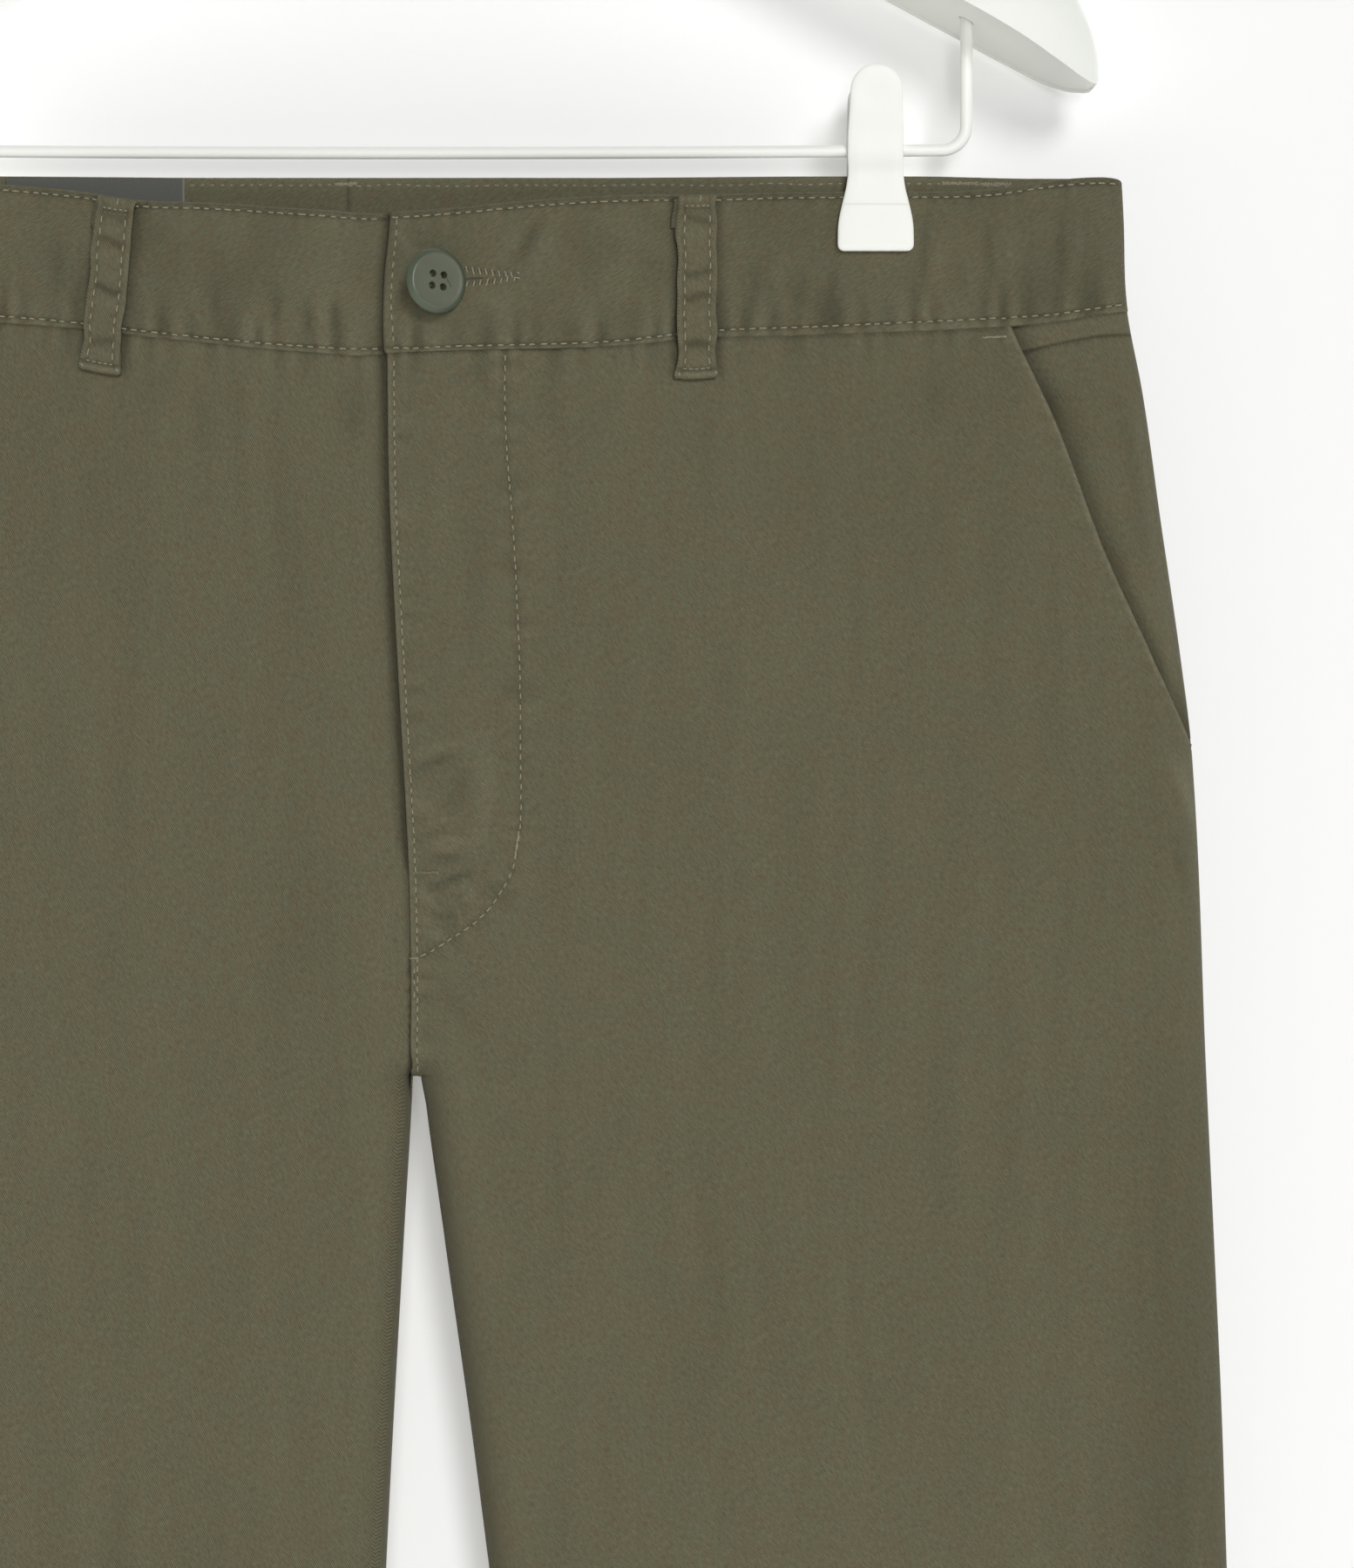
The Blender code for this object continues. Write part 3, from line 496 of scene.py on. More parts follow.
# ---------------------------------------------------------------- finishes
@dataclass(frozen=True)
class Shader:
    """A node tree in the making, with its Principled BSDF."""

    material: Material

    @classmethod
    def start(cls, name: str, colour: Triple, roughness: float, **sockets: float) -> "Shader":
        """A new material whose even values stand on the shader's own sockets."""
        material = bpy.data.materials.new(name)
        material.use_nodes = True
        shader = material.node_tree.nodes["Principled BSDF"]
        shader.inputs["Base Color"].default_value = (*colour, 1)
        shader.inputs["Roughness"].default_value = roughness
        for socket, value in sockets.items():
            shader.inputs[socket.replace("_", " ")].default_value = value
        material.diffuse_color = (*colour, 1)
        return cls(material)

    def node(self, kind: str, **values: object) -> bpy.types.Node:
        """A new node with properties and, by socket name, values."""
        made = self.material.node_tree.nodes.new(kind)
        for key, value in values.items():
            if hasattr(made, key):
                setattr(made, key, value)
            else:
                made.inputs[key.replace("_", " ")].default_value = value
        return made

    def link(self, out: Socket, into: Socket) -> None:
        """Joins two sockets."""
        self.material.node_tree.links.new(out, into)

    def maths(self, operation: str, *values: object, clamp: bool = False) -> Socket:
        """One sum on up to three values, each a socket or a number."""
        made = self.node("ShaderNodeMath", operation=operation, use_clamp=clamp)
        for socket, value in zip(made.inputs, values):
            if isinstance(value, Socket):
                self.link(value, socket)
            else:
                socket.default_value = value
        return made.outputs[0]

    def place(self) -> Socket:
        """The piece's own place in space."""
        return self.node("ShaderNodeTexCoord").outputs["Object"]

    def weave(self) -> Socket:
        """The cloth's own coordinates."""
        return self.node("ShaderNodeUVMap", uv_map="weave").outputs["UV"]

    def wear_and_shading(self) -> Socket:
        """Per vertex, the painted light and shade and the wash's paling: paler above 0, darker below 0."""
        return self.node("ShaderNodeAttribute", attribute_name="wear_and_shading").outputs["Fac"]

    def noise(self, where: Socket, stretch: Triple, detail: float = 2.0,
              ) -> Socket:
        """Soft noise from 0 to 1, with a number of grains a metre along each axis."""
        scaled = self.node("ShaderNodeVectorMath", operation="MULTIPLY")
        self.link(where, scaled.inputs[0])
        scaled.inputs[1].default_value = stretch
        cloud = self.node("ShaderNodeTexNoise", Scale=1.0, Detail=detail)
        self.link(scaled.outputs[0], cloud.inputs["Vector"])
        return cloud.outputs["Fac"]

    def mix(self, share: Socket, first: object, second: object) -> Socket:
        """A blend of two colours, each a socket or a triple."""
        made = self.node("ShaderNodeMix", data_type="RGBA")
        self.link(share, made.inputs[0])
        for socket, value in zip(made.inputs[6:8], (first, second)):
            if isinstance(value, Socket):
                self.link(value, socket)
            else:
                socket.default_value = (*value, 1)
        return made.outputs[2]

    def brightened(self, colour: Socket, factor: Socket) -> Socket:
        """A colour times a factor."""
        made = self.node("ShaderNodeVectorMath", operation="SCALE")
        self.link(colour, made.inputs[0])
        self.link(factor, made.inputs["Scale"])
        return made.outputs[0]

    def finish(self, colour: Socket, height: Socket, distance: float, strength: float = 1.0) -> Material:
        """Joins the colour and a bump of the given depth, in metres, to the shader, and gives the
        material."""
        shader = self.material.node_tree.nodes["Principled BSDF"]
        self.link(colour, shader.inputs["Base Color"])
        bump = self.node("ShaderNodeBump", Strength=strength, Distance=distance)
        self.link(height, bump.inputs["Height"])
        self.link(bump.outputs["Normal"], shader.inputs["Normal"])
        return self.material


@dataclass(frozen=True)
class TwillFinish:
    """Washed olive cotton twill: slanted ribs of two thread colours and soft mottling, paler where the wash
    thinned the dye and where highlights are painted, darker where shade is painted.
    """

    name: str = "olive twill"
    rib: float = 0.53 * MM
    green: Triple = (0.1215, 0.1245, 0.0795)
    brown: Triple = (0.1225, 0.1005, 0.0575)
    # Pale colour for dye thinned in the wash and for painted highlights.
    rubbed_and_lit: Triple = (0.190, 0.178, 0.118)
    rib_depth: float = 0.08 * MM

    def build(self) -> Material:
        """Ribs are a sine across the weave's first coordinate, broken by long fine noise along it."""
        made = Shader.start(
            self.name, self.green, 0.92, Sheen_Weight=0.04, Sheen_Roughness=0.6, Specular_IOR_Level=0.15
        )
        weave = made.weave()
        parts = made.node("ShaderNodeSeparateXYZ")
        made.link(weave, parts.inputs[0])
        wobble = made.maths("MULTIPLY", made.noise(weave, (260, 90, 1)), 2.4)
        turn = made.maths("MULTIPLY_ADD", parts.outputs[0], 2 * math.pi / self.rib, wobble)
        ribs = made.maths("MULTIPLY_ADD", made.maths("SINE", turn), 0.5, 0.5)
        floats = made.noise(weave, (1700, 640, 1), 1.0)
        melange = made.noise(weave, (900, 170, 1), 3.0)
        patches = made.noise(weave, (60, 60, 1), 3.0)
        clouds = made.noise(weave, (17, 17, 1), 2.0)
        drape = made.noise(made.place(), (75, 75, 14), 3.0)
        tint = made.maths("MULTIPLY_ADD", patches, 0.6, -0.65)
        tint = made.maths("MULTIPLY_ADD", melange, 1.7, tint, clamp=True)
        thread = made.mix(tint, self.green, self.brown)
        light = made.maths("MULTIPLY_ADD", ribs, 0.50, 0.28)
        for cloud, share in ((floats, 0.66), (patches, 0.08), (clouds, 0.05), (drape, 0.10)):
            light = made.maths("MULTIPLY_ADD", cloud, share, light)
        # Painted light and shade from the attribute: above 0 the colour goes towards the pale one, for dye
        # thinned in the wash and for painted highlights; below 0 it is darkened by up to 60 %, as painted
        # shade.
        worn_and_shaded = made.wear_and_shading()
        lighter = made.maths("MULTIPLY", worn_and_shaded, 0.5, clamp=True)
        colour = made.mix(lighter, thread, self.rubbed_and_lit)
        dimmed = made.maths("MAXIMUM", made.maths("MULTIPLY", worn_and_shaded, 0.42), -0.6)
        dimmed = made.maths("ADD", made.maths("MINIMUM", dimmed, 0.0), 1.0)
        height = made.maths("MULTIPLY_ADD", floats, 0.9, ribs)
        shade = made.maths("MULTIPLY", light, dimmed)
        return made.finish(made.brightened(colour, shade), height, self.rib_depth, 0.8)


@dataclass(frozen=True)
class ThreadFinish:
    """Beige-olive sewing thread, and the painted shade of the needle's holes between the stitches."""

    name: str = "sewing thread"
    colour: Triple = (0.350, 0.326, 0.230)
    dark: Triple = (0.170, 0.156, 0.104)
    hole_shade: Triple = (0.050, 0.043, 0.026)

    def build(self) -> Material:
        """Fine noise on Object coordinates between the plies' two tones; towards -1 the attribute turns it
        into the painted shade of the needle holes.
        """
        made = Shader.start(self.name, self.colour, 0.8, Specular_IOR_Level=0.2)
        where = made.place()
        plies = made.noise(where, (2600, 2600, 2600), 1.0)
        holes = made.maths("MULTIPLY", made.wear_and_shading(), -1.0, clamp=True)
        thread = made.mix(plies, self.dark, self.colour)
        return made.finish(made.mix(holes, thread, self.hole_shade), plies, 0.05 * MM)


@dataclass(frozen=True)
class ResinFinish:
    """Cloudy olive resin of the button, darker and greener at the rim: a greener tint with the painted shade
    of the rim's slope.
    """

    name: str = "olive resin"
    face: Triple = (0.126, 0.134, 0.098)
    rim: Triple = (0.082, 0.101, 0.067)

    def build(self) -> Material:
        """Clouded noise between the two colours, with fine turning marks."""
        made = Shader.start(self.name, self.face, 0.34, Specular_IOR_Level=0.4)
        where = made.place()
        cloud = made.noise(where, (240, 240, 240), 3.0)
        share = made.maths("MULTIPLY_ADD", cloud, 0.35, made.wear_and_shading(), clamp=True)
        marks = made.noise(where, (900, 900, 900))
        return made.finish(made.mix(share, self.face, self.rim), marks, 0.02 * MM)


@dataclass(frozen=True)
class PlasticFinish:
    """White plastic or powder-coated wire: very slightly clouded, with a fine grain."""

    name: str
    colour: Triple = (0.900, 0.910, 0.865)
    shade: Triple = (0.878, 0.890, 0.840)
    roughness: float = 0.5
    grain: float = 700.0

    def build(self) -> Material:
        """A slow blend of two whites, and a bump of fine noise."""
        made = Shader.start(self.name, self.colour, self.roughness, Specular_IOR_Level=0.2)
        where = made.place()
        cloud = made.noise(where, (14, 14, 14), 2.0)
        grain = made.noise(where, (self.grain,) * 3, 2.0)
        return made.finish(made.mix(cloud, self.shade, self.colour), grain, 0.015 * MM)


@dataclass(frozen=True)
class LabelFinish:
    """Plain dark grey satin tape: fine level ribs and a pale cut edge."""

    name: str = "grey label"
    colour: Triple = (0.101, 0.104, 0.091)
    edge: Triple = (0.25, 0.26, 0.23)

    def build(self) -> Material:
        """Fine level threads of noise; wear marks the edge."""
        made = Shader.start(self.name, self.colour, 0.75, Specular_IOR_Level=0.15)
        weave = made.weave()
        threads = made.noise(weave, (900, 5200, 1), 2.0)
        plain = made.mix(threads, *(tuple(c * tone for c in self.colour) for tone in (0.82, 1.15)))
        return made.finish(made.mix(made.wear_and_shading(), plain, self.edge), threads, 0.03 * MM)


@dataclass(frozen=True)
class BrassFinish:
    """Antique brass of the zip's teeth."""

    name: str = "antique brass"
    colour: Triple = (0.30, 0.24, 0.13)

    def build(self) -> Material:
        """Tarnish is noise between bright and dull brass."""
        made = Shader.start(self.name, self.colour, 0.42, Metallic=1.0)
        where = made.place()
        tarnish = made.noise(where, (500, 500, 500), 3.0)
        return made.finish(made.mix(tarnish, (0.16, 0.12, 0.07), self.colour), tarnish, 0.01 * MM)


@dataclass(frozen=True)
class Finishes:
    """All the part's materials."""

    twill: Material
    thread: Material
    resin: Material
    plastic: Material
    wire: Material
    label: Material
    brass: Material

    @classmethod
    def make(cls) -> "Finishes":
        """Builds each one."""
        return cls(
            TwillFinish().build(), ThreadFinish().build(), ResinFinish().build(),
            PlasticFinish("satin white plastic").build(),
            PlasticFinish("white coated wire", roughness=0.33, grain=1400.0).build(),
            LabelFinish().build(), BrassFinish().build(),
        )


@dataclass
class Maker:
    """What each maker of pieces works with."""

    form: GarmentForm
    finishes: Finishes


# ---------------------------------------------------------------- sewing
@dataclass(frozen=True)
class Needle:
    """Lays stitches as small rounded bars on a surface: each dips into the cloth at its two ends."""

    radius: float = 0.26
    length: float = 1.95
    pitch: float = 2.95
    around: int = 6
    stations: tuple[float, ...] = (-1.0, -0.72, -0.3, 0.3, 0.72, 1.0)
    heights: tuple[float, ...] = (-0.9, 0.1, 0.55, 0.55, 0.1, -0.9)
    widths: tuple[float, ...] = (0.45, 0.9, 1.0, 1.0, 0.9, 0.45)

    def shade_pit(self) -> "Needle":
        """A needle that lays flat dark dimples instead: painted shade round the stitches."""
        flat = (-1.0, -0.80, -0.74, -0.74, -0.80, -1.0)
        return replace(self, radius=1.25 * self.radius, heights=flat, widths=(0.3, 0.8, 1.0, 1.0, 0.8, 0.3))

    def bars(
        self, surface: Surface, starts: Array, ends: Array, facing: float = 1.0, wear_and_shading: float = 0.0
    ) -> Seam:
        """Rounded bars between pairs of places on a surface.

        Each bar's rings follow its length, with the middle raised over the surface and the ends sunk in it.

        Args:
            surface: gives points for two coordinates.
            starts, ends: the coordinates of each bar's ends.
            facing: 1 where the surface's coordinates run right and up as seen from outside, otherwise -1.
            wear_and_shading: 0 for thread, down to -1 for the painted shade in needle holes.

        Returns:
            Points, faces and each point's wear.
        """
        a, b = surface(starts[:, 0], starts[:, 1]), surface(ends[:, 0], ends[:, 1])
        middle = (starts + ends) / 2
        step = 0.2
        centre = surface(middle[:, 0], middle[:, 1])
        right = surface(middle[:, 0] + step, middle[:, 1]) - surface(middle[:, 0] - step, middle[:, 1])
        up = surface(middle[:, 0], middle[:, 1] + step) - surface(middle[:, 0], middle[:, 1] - step)
        normal = facing * np.cross(right, up)
        normal /= np.linalg.norm(normal, axis=1, keepdims=True)
        run = (b - a) / 2
        across = np.cross(run, normal)
        across /= np.linalg.norm(across, axis=1, keepdims=True)
        turn = np.linspace(0, 2 * np.pi, self.around, endpoint=False)
        along, height, width = (
            np.array(v)[None, :, None, None] for v in (self.stations, self.heights, self.widths)
        )
        cos, sin = (f(turn)[None, None, :, None] for f in (np.cos, np.sin))
        spread = [v[:, None, None, :] for v in (centre, run, normal, across)]
        points = (
            spread[0] + spread[1] * along
            + self.radius * (spread[2] * (height + width * cos) + spread[3] * width * sin)
        )
        rings, size = len(self.stations), len(self.stations) * self.around
        sides = grid_faces(rings, self.around, closed=True)
        caps = np.arange(self.around)
        quads = np.concatenate([
            sides,
            [[caps[0], caps[1], caps[2], caps[3]], [caps[0], caps[3], caps[4], caps[5]]],
            [[size - 1 - c for c in (0, 1, 2, 3)], [size - 1 - c for c in (0, 3, 4, 5)]],
        ])
        offsets = size * np.arange(len(starts))[:, None, None]
        return points.reshape(-1, 3), (quads[None] + offsets).reshape(-1, 4), np.full(points.size // 3, wear_and_shading)

    def run(self, surface: Surface, path: Array, facing: float = 1.0, seed: int = 1,
            pitch: float | None = None) -> Seam:
        """A running stitch along a path: bars at even distances, each a little out of line and of its own
        length, with a dark dimple of painted shade between each two.

        Args:
            surface: gives points for two coordinates.
            path: the coordinates that the seam follows.
            facing: as bars() has it.
            seed: settles the small differences.
            pitch: distance from stitch to stitch, or this needle's own.

        Returns:
            Points, faces and wear.
        """
        pitch = pitch or self.pitch
        length = self.length * pitch / self.pitch
        steps = np.linalg.norm(np.diff(path, axis=0), axis=1)
        far = np.concatenate([[0], np.cumsum(steps)])
        count = max(int(far[-1] / pitch), 1)
        draw = np.random.default_rng(seed)
        middle = (np.arange(count) + 0.5) * far[-1] / count + draw.normal(0, 0.05 * pitch, count)
        half = length / 2 * (1 + draw.normal(0, 0.09, count))
        aside = draw.normal(0, 0.05, (2, count))

        def at(distance: Array, off: Array) -> Array:
            """Place at a distance along the path and off it."""
            here = np.stack([np.interp(distance, far, path[:, k]) for k in (0, 1)], -1)
            ahead = np.stack([np.interp(distance + 0.5, far, path[:, k]) for k in (0, 1)], -1)
            behind = np.stack([np.interp(distance - 0.5, far, path[:, k]) for k in (0, 1)], -1)
            way = (ahead - behind) / np.maximum(np.linalg.norm(ahead - behind, axis=1, keepdims=True), 1e-9)
            return here + off[:, None] * np.stack([-way[:, 1], way[:, 0]], -1)

        dashes = self.bars(surface, at(middle - half, aside[0]), at(middle + half, aside[1]), facing)
        if count < 2:
            return dashes
        before = at((middle + 0.8 * half)[:-1], aside[1][:-1])
        after = at((middle - 0.8 * half)[1:], aside[0][1:])
        return joined([dashes, self.shade_pit().bars(surface, before, after, facing, -0.9)])

    def overcast(self, surface: Surface, start: tuple[float, float], end: tuple[float, float], width: float,
                 pitch: float, slant: float, seed: int = 3) -> Seam:
        """One side of a buttonhole: leaning bars across the line from start to end, pale and darker by
        turns, the darker ones as painted shade between the strands."""
        a, b = np.array(start), np.array(end)
        way = (b - a) / np.linalg.norm(b - a)
        count = int(np.linalg.norm(b - a) / pitch)
        draw = np.random.default_rng(seed)
        middle = a + (b - a) * ((np.arange(count) + 0.5) / count)[:, None] + draw.normal(0, 0.06, (count, 2))
        lean = way * slant / 2 + np.array([-way[1], way[0]]) * width / 2
        lean = lean * (1 + draw.normal(0, 0.12, (count, 1)))
        pale = np.arange(count) % 2 == 0
        return joined([
            self.bars(surface, (middle - lean)[pale], (middle + lean)[pale]),
            self.bars(surface, (middle - lean)[~pale], (middle + lean)[~pale], wear_and_shading=-0.62),
        ])

    def zigzag(self, surface: Surface, start: tuple[float, float], end: tuple[float, float], width: float,
               pitch: float, facing: float = 1.0) -> Seam:
        """A bartack: bars that cross the line from start to end to and fro, over a dark dimple of painted
        shade.
        """
        a, b = np.array(start), np.array(end)
        way = (b - a) / np.linalg.norm(b - a)
        count = max(int(round(np.linalg.norm(b - a) / pitch)), 2)
        side = np.array([-way[1], way[0]]) * width / 2
        share = np.arange(2 * count + 1)[:, None] / (2 * count)
        swing = np.where(np.arange(2 * count + 1)[:, None] % 2 == 0, 1.0, -1.0)
        corner = a + (b - a) * share + swing * side
        corner = corner + np.random.default_rng(count).normal(0, 0.16 * pitch, corner.shape)
        bed = replace(self.shade_pit(), radius=0.5 * width).bars(
            surface, (a - 0.3 * way)[None], (b + 0.3 * way)[None], facing, -0.8
        )
        return joined([self.bars(surface, corner[:-1], corner[1:], facing), bed])


def joined(parts: Sequence[Seam]) -> Seam:
    """Several sets of points, faces and wear as one."""
    counts = np.cumsum([0] + [len(part[0]) for part in parts])
    return (
        np.concatenate([part[0] for part in parts]),
        np.concatenate([np.asarray(part[1]) + first for part, first in zip(parts, counts)]),
        np.concatenate([part[2] for part in parts]),
    )


def smooth_path(rows: Table, step: float = 1.0) -> Array:
    """A smooth path through given places: both coordinates are curves over the distance so far."""
    places = np.array(rows, float)
    far = np.concatenate([[0], np.cumsum(np.linalg.norm(np.diff(places, axis=0), axis=1))])
    at = np.arange(0, far[-1], step)
    return np.stack([Curve(tuple(zip(far.tolist(), places[:, k].tolist())))(at) for k in (0, 1)], -1)


# ---------------------------------------------------------------- places of the belt loops
@dataclass(frozen=True)
class Loop:
    """One belt loop: x at its top and bottom, its side, its length, and its folds (distance down it,
    depth)."""

    name: str
    top_x: float
    bottom_x: float
    side: Side
    length: float
    folds: Table
    phase: float
    width: float = 11.3
    below_top: float = 1.2

    def across(self, form: GarmentForm, x: Array, level: Array) -> tuple[Array, Array]:
        """Place across the loop and down it, of places on the garment."""
        along = form.top_level(x, self.side) - self.below_top - level
        return x - self.top_x - (self.bottom_x - self.top_x) * along / self.length, along


LOOPS = (
    Loop("belt_loop_front_left", 82, 82, Side.FRONT, 51, (
        (6.4, 0.30), (11, -0.10), (21.5, 0.34), (25, -0.14), (28.5, 0.38), (33, -0.08), (42.4, 0.42),
        (45, -0.10),
    ), 1.7),
    Loop("belt_loop_front_right", -82, -87.2, Side.FRONT, 49.2, (
        (5.4, 0.20), (9, -0.08), (12.2, 0.36), (16, -0.12), (25.6, 0.42), (30, -0.12), (41.2, 0.32),
        (44, -0.08),
    ), 0.6),
    Loop("belt_loop_back_centre", -18, -18, Side.BACK, 51,
         ((9, 0.28), (20, 0.3), (31, 0.2), (42, 0.36)), 2.8),
    Loop("belt_loop_back_left", 159, 159, Side.BACK, 51,
         ((7, 0.3), (18, 0.2), (27, 0.32), (41, 0.34)), 3.9),
    Loop("belt_loop_back_right", -186, -186, Side.BACK, 51,
         ((11, 0.3), (23, 0.32), (42, 0.36)), 5.0),
)


def loop_shadows(form: GarmentForm, x: Array, level: Array, side: Side) -> Array:
    """Painted shadow and shade on the cloth beside the belt loops: a narrow dark line to the left, a broad
    soft one to the right."""
    dark = np.zeros(np.broadcast(x, level).shape)
    for loop in LOOPS:
        if loop.side is side:
            across, along = loop.across(form, x, level)
            left, right = (np.maximum(sign * across - loop.width / 2, 0) for sign in (-1, 1))
            shade = 1.1 * bell(left, 1.3) * (across < 0)
            shade = shade + 0.75 * bell(right, 2.2) * (across > 0)
            dark = dark - shade * smoothstep((loop.length + 1.2 - along) / 2) * (along > 0)
    return dark


# ---------------------------------------------------------------- panels
@dataclass(frozen=True)
class FoldedEdge:
    """A panel's edge, turned round a small roll and under."""

    radius: float = 0.75
    turned: float = 9.0
    strip: int = 4
    arc: int = 6

    def columns(self, folded: Array) -> tuple[Array, Array]:
        """Distances in from the edge and drops below the surface, from the turned-under strip's free end to
        the top.

        The roll is half a circle. Where the edge is a plain seam the same columns lie evenly on the surface
        instead.

        Args:
            folded: share of the fold at each row, as a column.

        Returns:
            Offsets and drops, one row of them for each row of the panel.
        """
        turn = np.linspace(np.pi, 0, self.arc + 1)
        under = self.radius + self.turned * np.linspace(1, 0, self.strip, endpoint=False)
        offset = np.concatenate([under, self.radius * (1 - np.sin(turn))])
        drop = np.concatenate([np.full(self.strip, 2 * self.radius), self.radius * (1 - np.cos(turn))])
        plain = np.linspace(0, self.radius, offset.size)
        return folded * offset + (1 - folded) * plain, folded * drop


@dataclass
class Panel:
    """A front or back panel: a grid between two edges that are functions of the level."""

    form: GarmentForm
    name: str
    side: Side
    low: Line
    high: Line
    lift: Callable[[Array, Array], Array]
    relief: Callable[[Array, Array], Array]
    shade: Callable[[Array, Array], Array]
    low_folded: Line
    high_folded: Line
    ribs: float
    across_steps: Table
    down_steps: Table
    edge: FoldedEdge = FoldedEdge()
    hem_edge: FoldedEdge = FoldedEdge(radius=0.9, turned=25, strip=5, arc=6)
    nominal_seam: float = -45.0
    seam_blend: float = 50.0
    under_band: float = 5.0
    nominal_width: float = 215.0
    passes: int = 3
    thickness: float = 0.5

    def level(self, x: Array, nominal: Array) -> Array:
        """Rows follow the waistband seam at the top and straighten out below it."""
        pull = np.clip((nominal - self.nominal_seam + self.seam_blend) / self.seam_blend, 0, 1)
        return nominal + (self.form.seam_level(x, self.side) - self.nominal_seam) * pull

    def surface(self, x: Array, level: Array) -> Array:
        """Points of the panel's outer face."""
        return self.form.points(x, level, self.side, self.lift(x, level) + self.relief(x, level))

    def grid(self) -> tuple[Array, Array, Array]:
        """x, level and drop of every point of the panel."""
        fold, drop = self.hem_edge.columns(np.ones((1, 1)))
        top = self.nominal_seam + self.under_band
        crotch = self.form.crotch
        rows = stations(top, self.form.hem + self.hem_edge.radius, self.down_steps)
        rows = rows[np.abs(rows - crotch) > 0.25]
        rows = np.unique(np.concatenate([rows, [crotch + 0.015, crotch - 0.015]]))[::-1]
        nominal = np.concatenate([rows, self.form.hem + fold[0][::-1][1:]])[:, None]
        lowered = 0.4 * smoothstep((rows - self.nominal_seam) / self.under_band)
        row_drop = np.concatenate([lowered, drop[0][::-1][1:]])[:, None]
        middle = stations(self.edge.radius, self.nominal_width - self.edge.radius, self.across_steps)[1:-1]
        share = 0.003 + 0.994 * ((middle - middle[0]) / (middle[-1] - middle[0]))[None, :]
        offset_low, drop_low = self.edge.columns(self.low_folded(nominal))
        offset_high, drop_high = self.edge.columns(self.high_folded(nominal))
        ends, radius = offset_low.shape[1], self.edge.radius
        level = nominal + np.zeros((1, 2 * ends + share.size))
        for _ in range(self.passes):
            low, high = self.low(level), self.high(level)
            within = level[:, ends:-ends]
            smooth_low, smooth_high = self.guide(self.low, within), self.guide(self.high, within)
            across = smooth_low + radius + (smooth_high - smooth_low - 2 * radius) * share
            for edge, smooth in ((low[:, ends:-ends], smooth_low), (high[:, ends:-ends], smooth_high)):
                across = across + (edge - smooth) * bell(across - smooth, 6)
            left, right = low[:, :ends] + offset_low, high[:, -ends:] - offset_high[:, ::-1]
            x = np.concatenate([left, across, right], axis=1)
            level = self.level(x, nominal)
        edge_drop = np.concatenate([drop_low, np.zeros(across.shape), drop_high[:, ::-1]], axis=1)
        return x, level, row_drop + edge_drop

    @staticmethod
    def guide(edge: Line, level: Array) -> Array:
        """An edge evened out over 20 mm of height, which the columns inside the panel follow."""
        return sum(edge(level + step) for step in (-10, -7, -4, -1, 2, 5, 8)) / 7

    def flat_size(self) -> Triple:
        """Width, length and area of the cut, with its hem allowance."""
        levels = np.linspace(self.form.hem, self.nominal_seam, 60)
        widths = self.high(levels) - self.low(levels) + 2 * self.edge.turned
        length = self.nominal_seam + self.under_band - self.form.hem + self.hem_edge.turned
        return float(widths.max() * 1.06), float(length), float(widths.mean() * 1.06 * length)

    def build(self, finish: Material) -> Object:
        """Makes the panel as a thin shell on its solid's form."""
        x, level, drop = self.grid()
        raised = self.relief(x, level)
        points = self.form.points(x, level, self.side, self.lift(x, level) + raised - drop)
        reference = x.shape[1] // 2
        across = cloth_length(points[..., :2], 1, 0.0)
        across = across - across[:, reference:reference + 1] + x[:, reference:reference + 1]
        down = level[:1] - cloth_length(points[..., 1:], 0, 0.0)
        # Painted light and shade: the folded edges are painted paler, partly as a highlight on the roll and
        # partly as the wash's paling, and shade() adds the panel's painted shadows and shading.
        edges = bell(x - self.low(level) - 0.3, 0.9) * self.low_folded(level)
        edges = edges + bell(x - self.high(level) + 0.3, 0.9) * self.high_folded(level)
        wear_and_shading = 0.8 * edges + self.shade(x, level)
        faces = grid_faces(*x.shape, flip=self.side is Side.BACK)
        piece = add_piece(
            self.name + "_panel", points, faces, finish, [self.name],
            weave_uv(across, down, self.ribs), wear_and_shading,
        )
        thicken(piece, self.thickness)
        width, length, area = self.flat_size()
        return piece


# Pocket mouth of the left front: level, x
POCKET_MOUTH = ((-35, 168.5), (-43, 171.8), (-70, 184.2), (-111, 199.5), (-136, 211.0), (-164, 224.7))
# Fly edge of the left front: level, x
FLY_EDGE = ((-45, -5.6), (-92, -5.0), (-122, -3.6), (-153, -1.9), (-200, 0.6), (-236, 1.2), (-257, 0.9))
# The fly's curved stitch line on the left front: x, level
FLY_STITCH = (
    (28, -52), (27.9, -65.6), (28.6, -81.6), (29.8, -96.2), (30.7, -109.3), (31.4, -123.9), (32, -137.2),
    (32.3, -149.6), (32.3, -162.6), (32.5, -177), (32.2, -187), (30.9, -195.2), (30, -198.8), (27.8, -203.1),
    (23.4, -209.7), (19.2, -213.8), (14, -217.2), (8.3, -220.9), (3.6, -223.4),
)
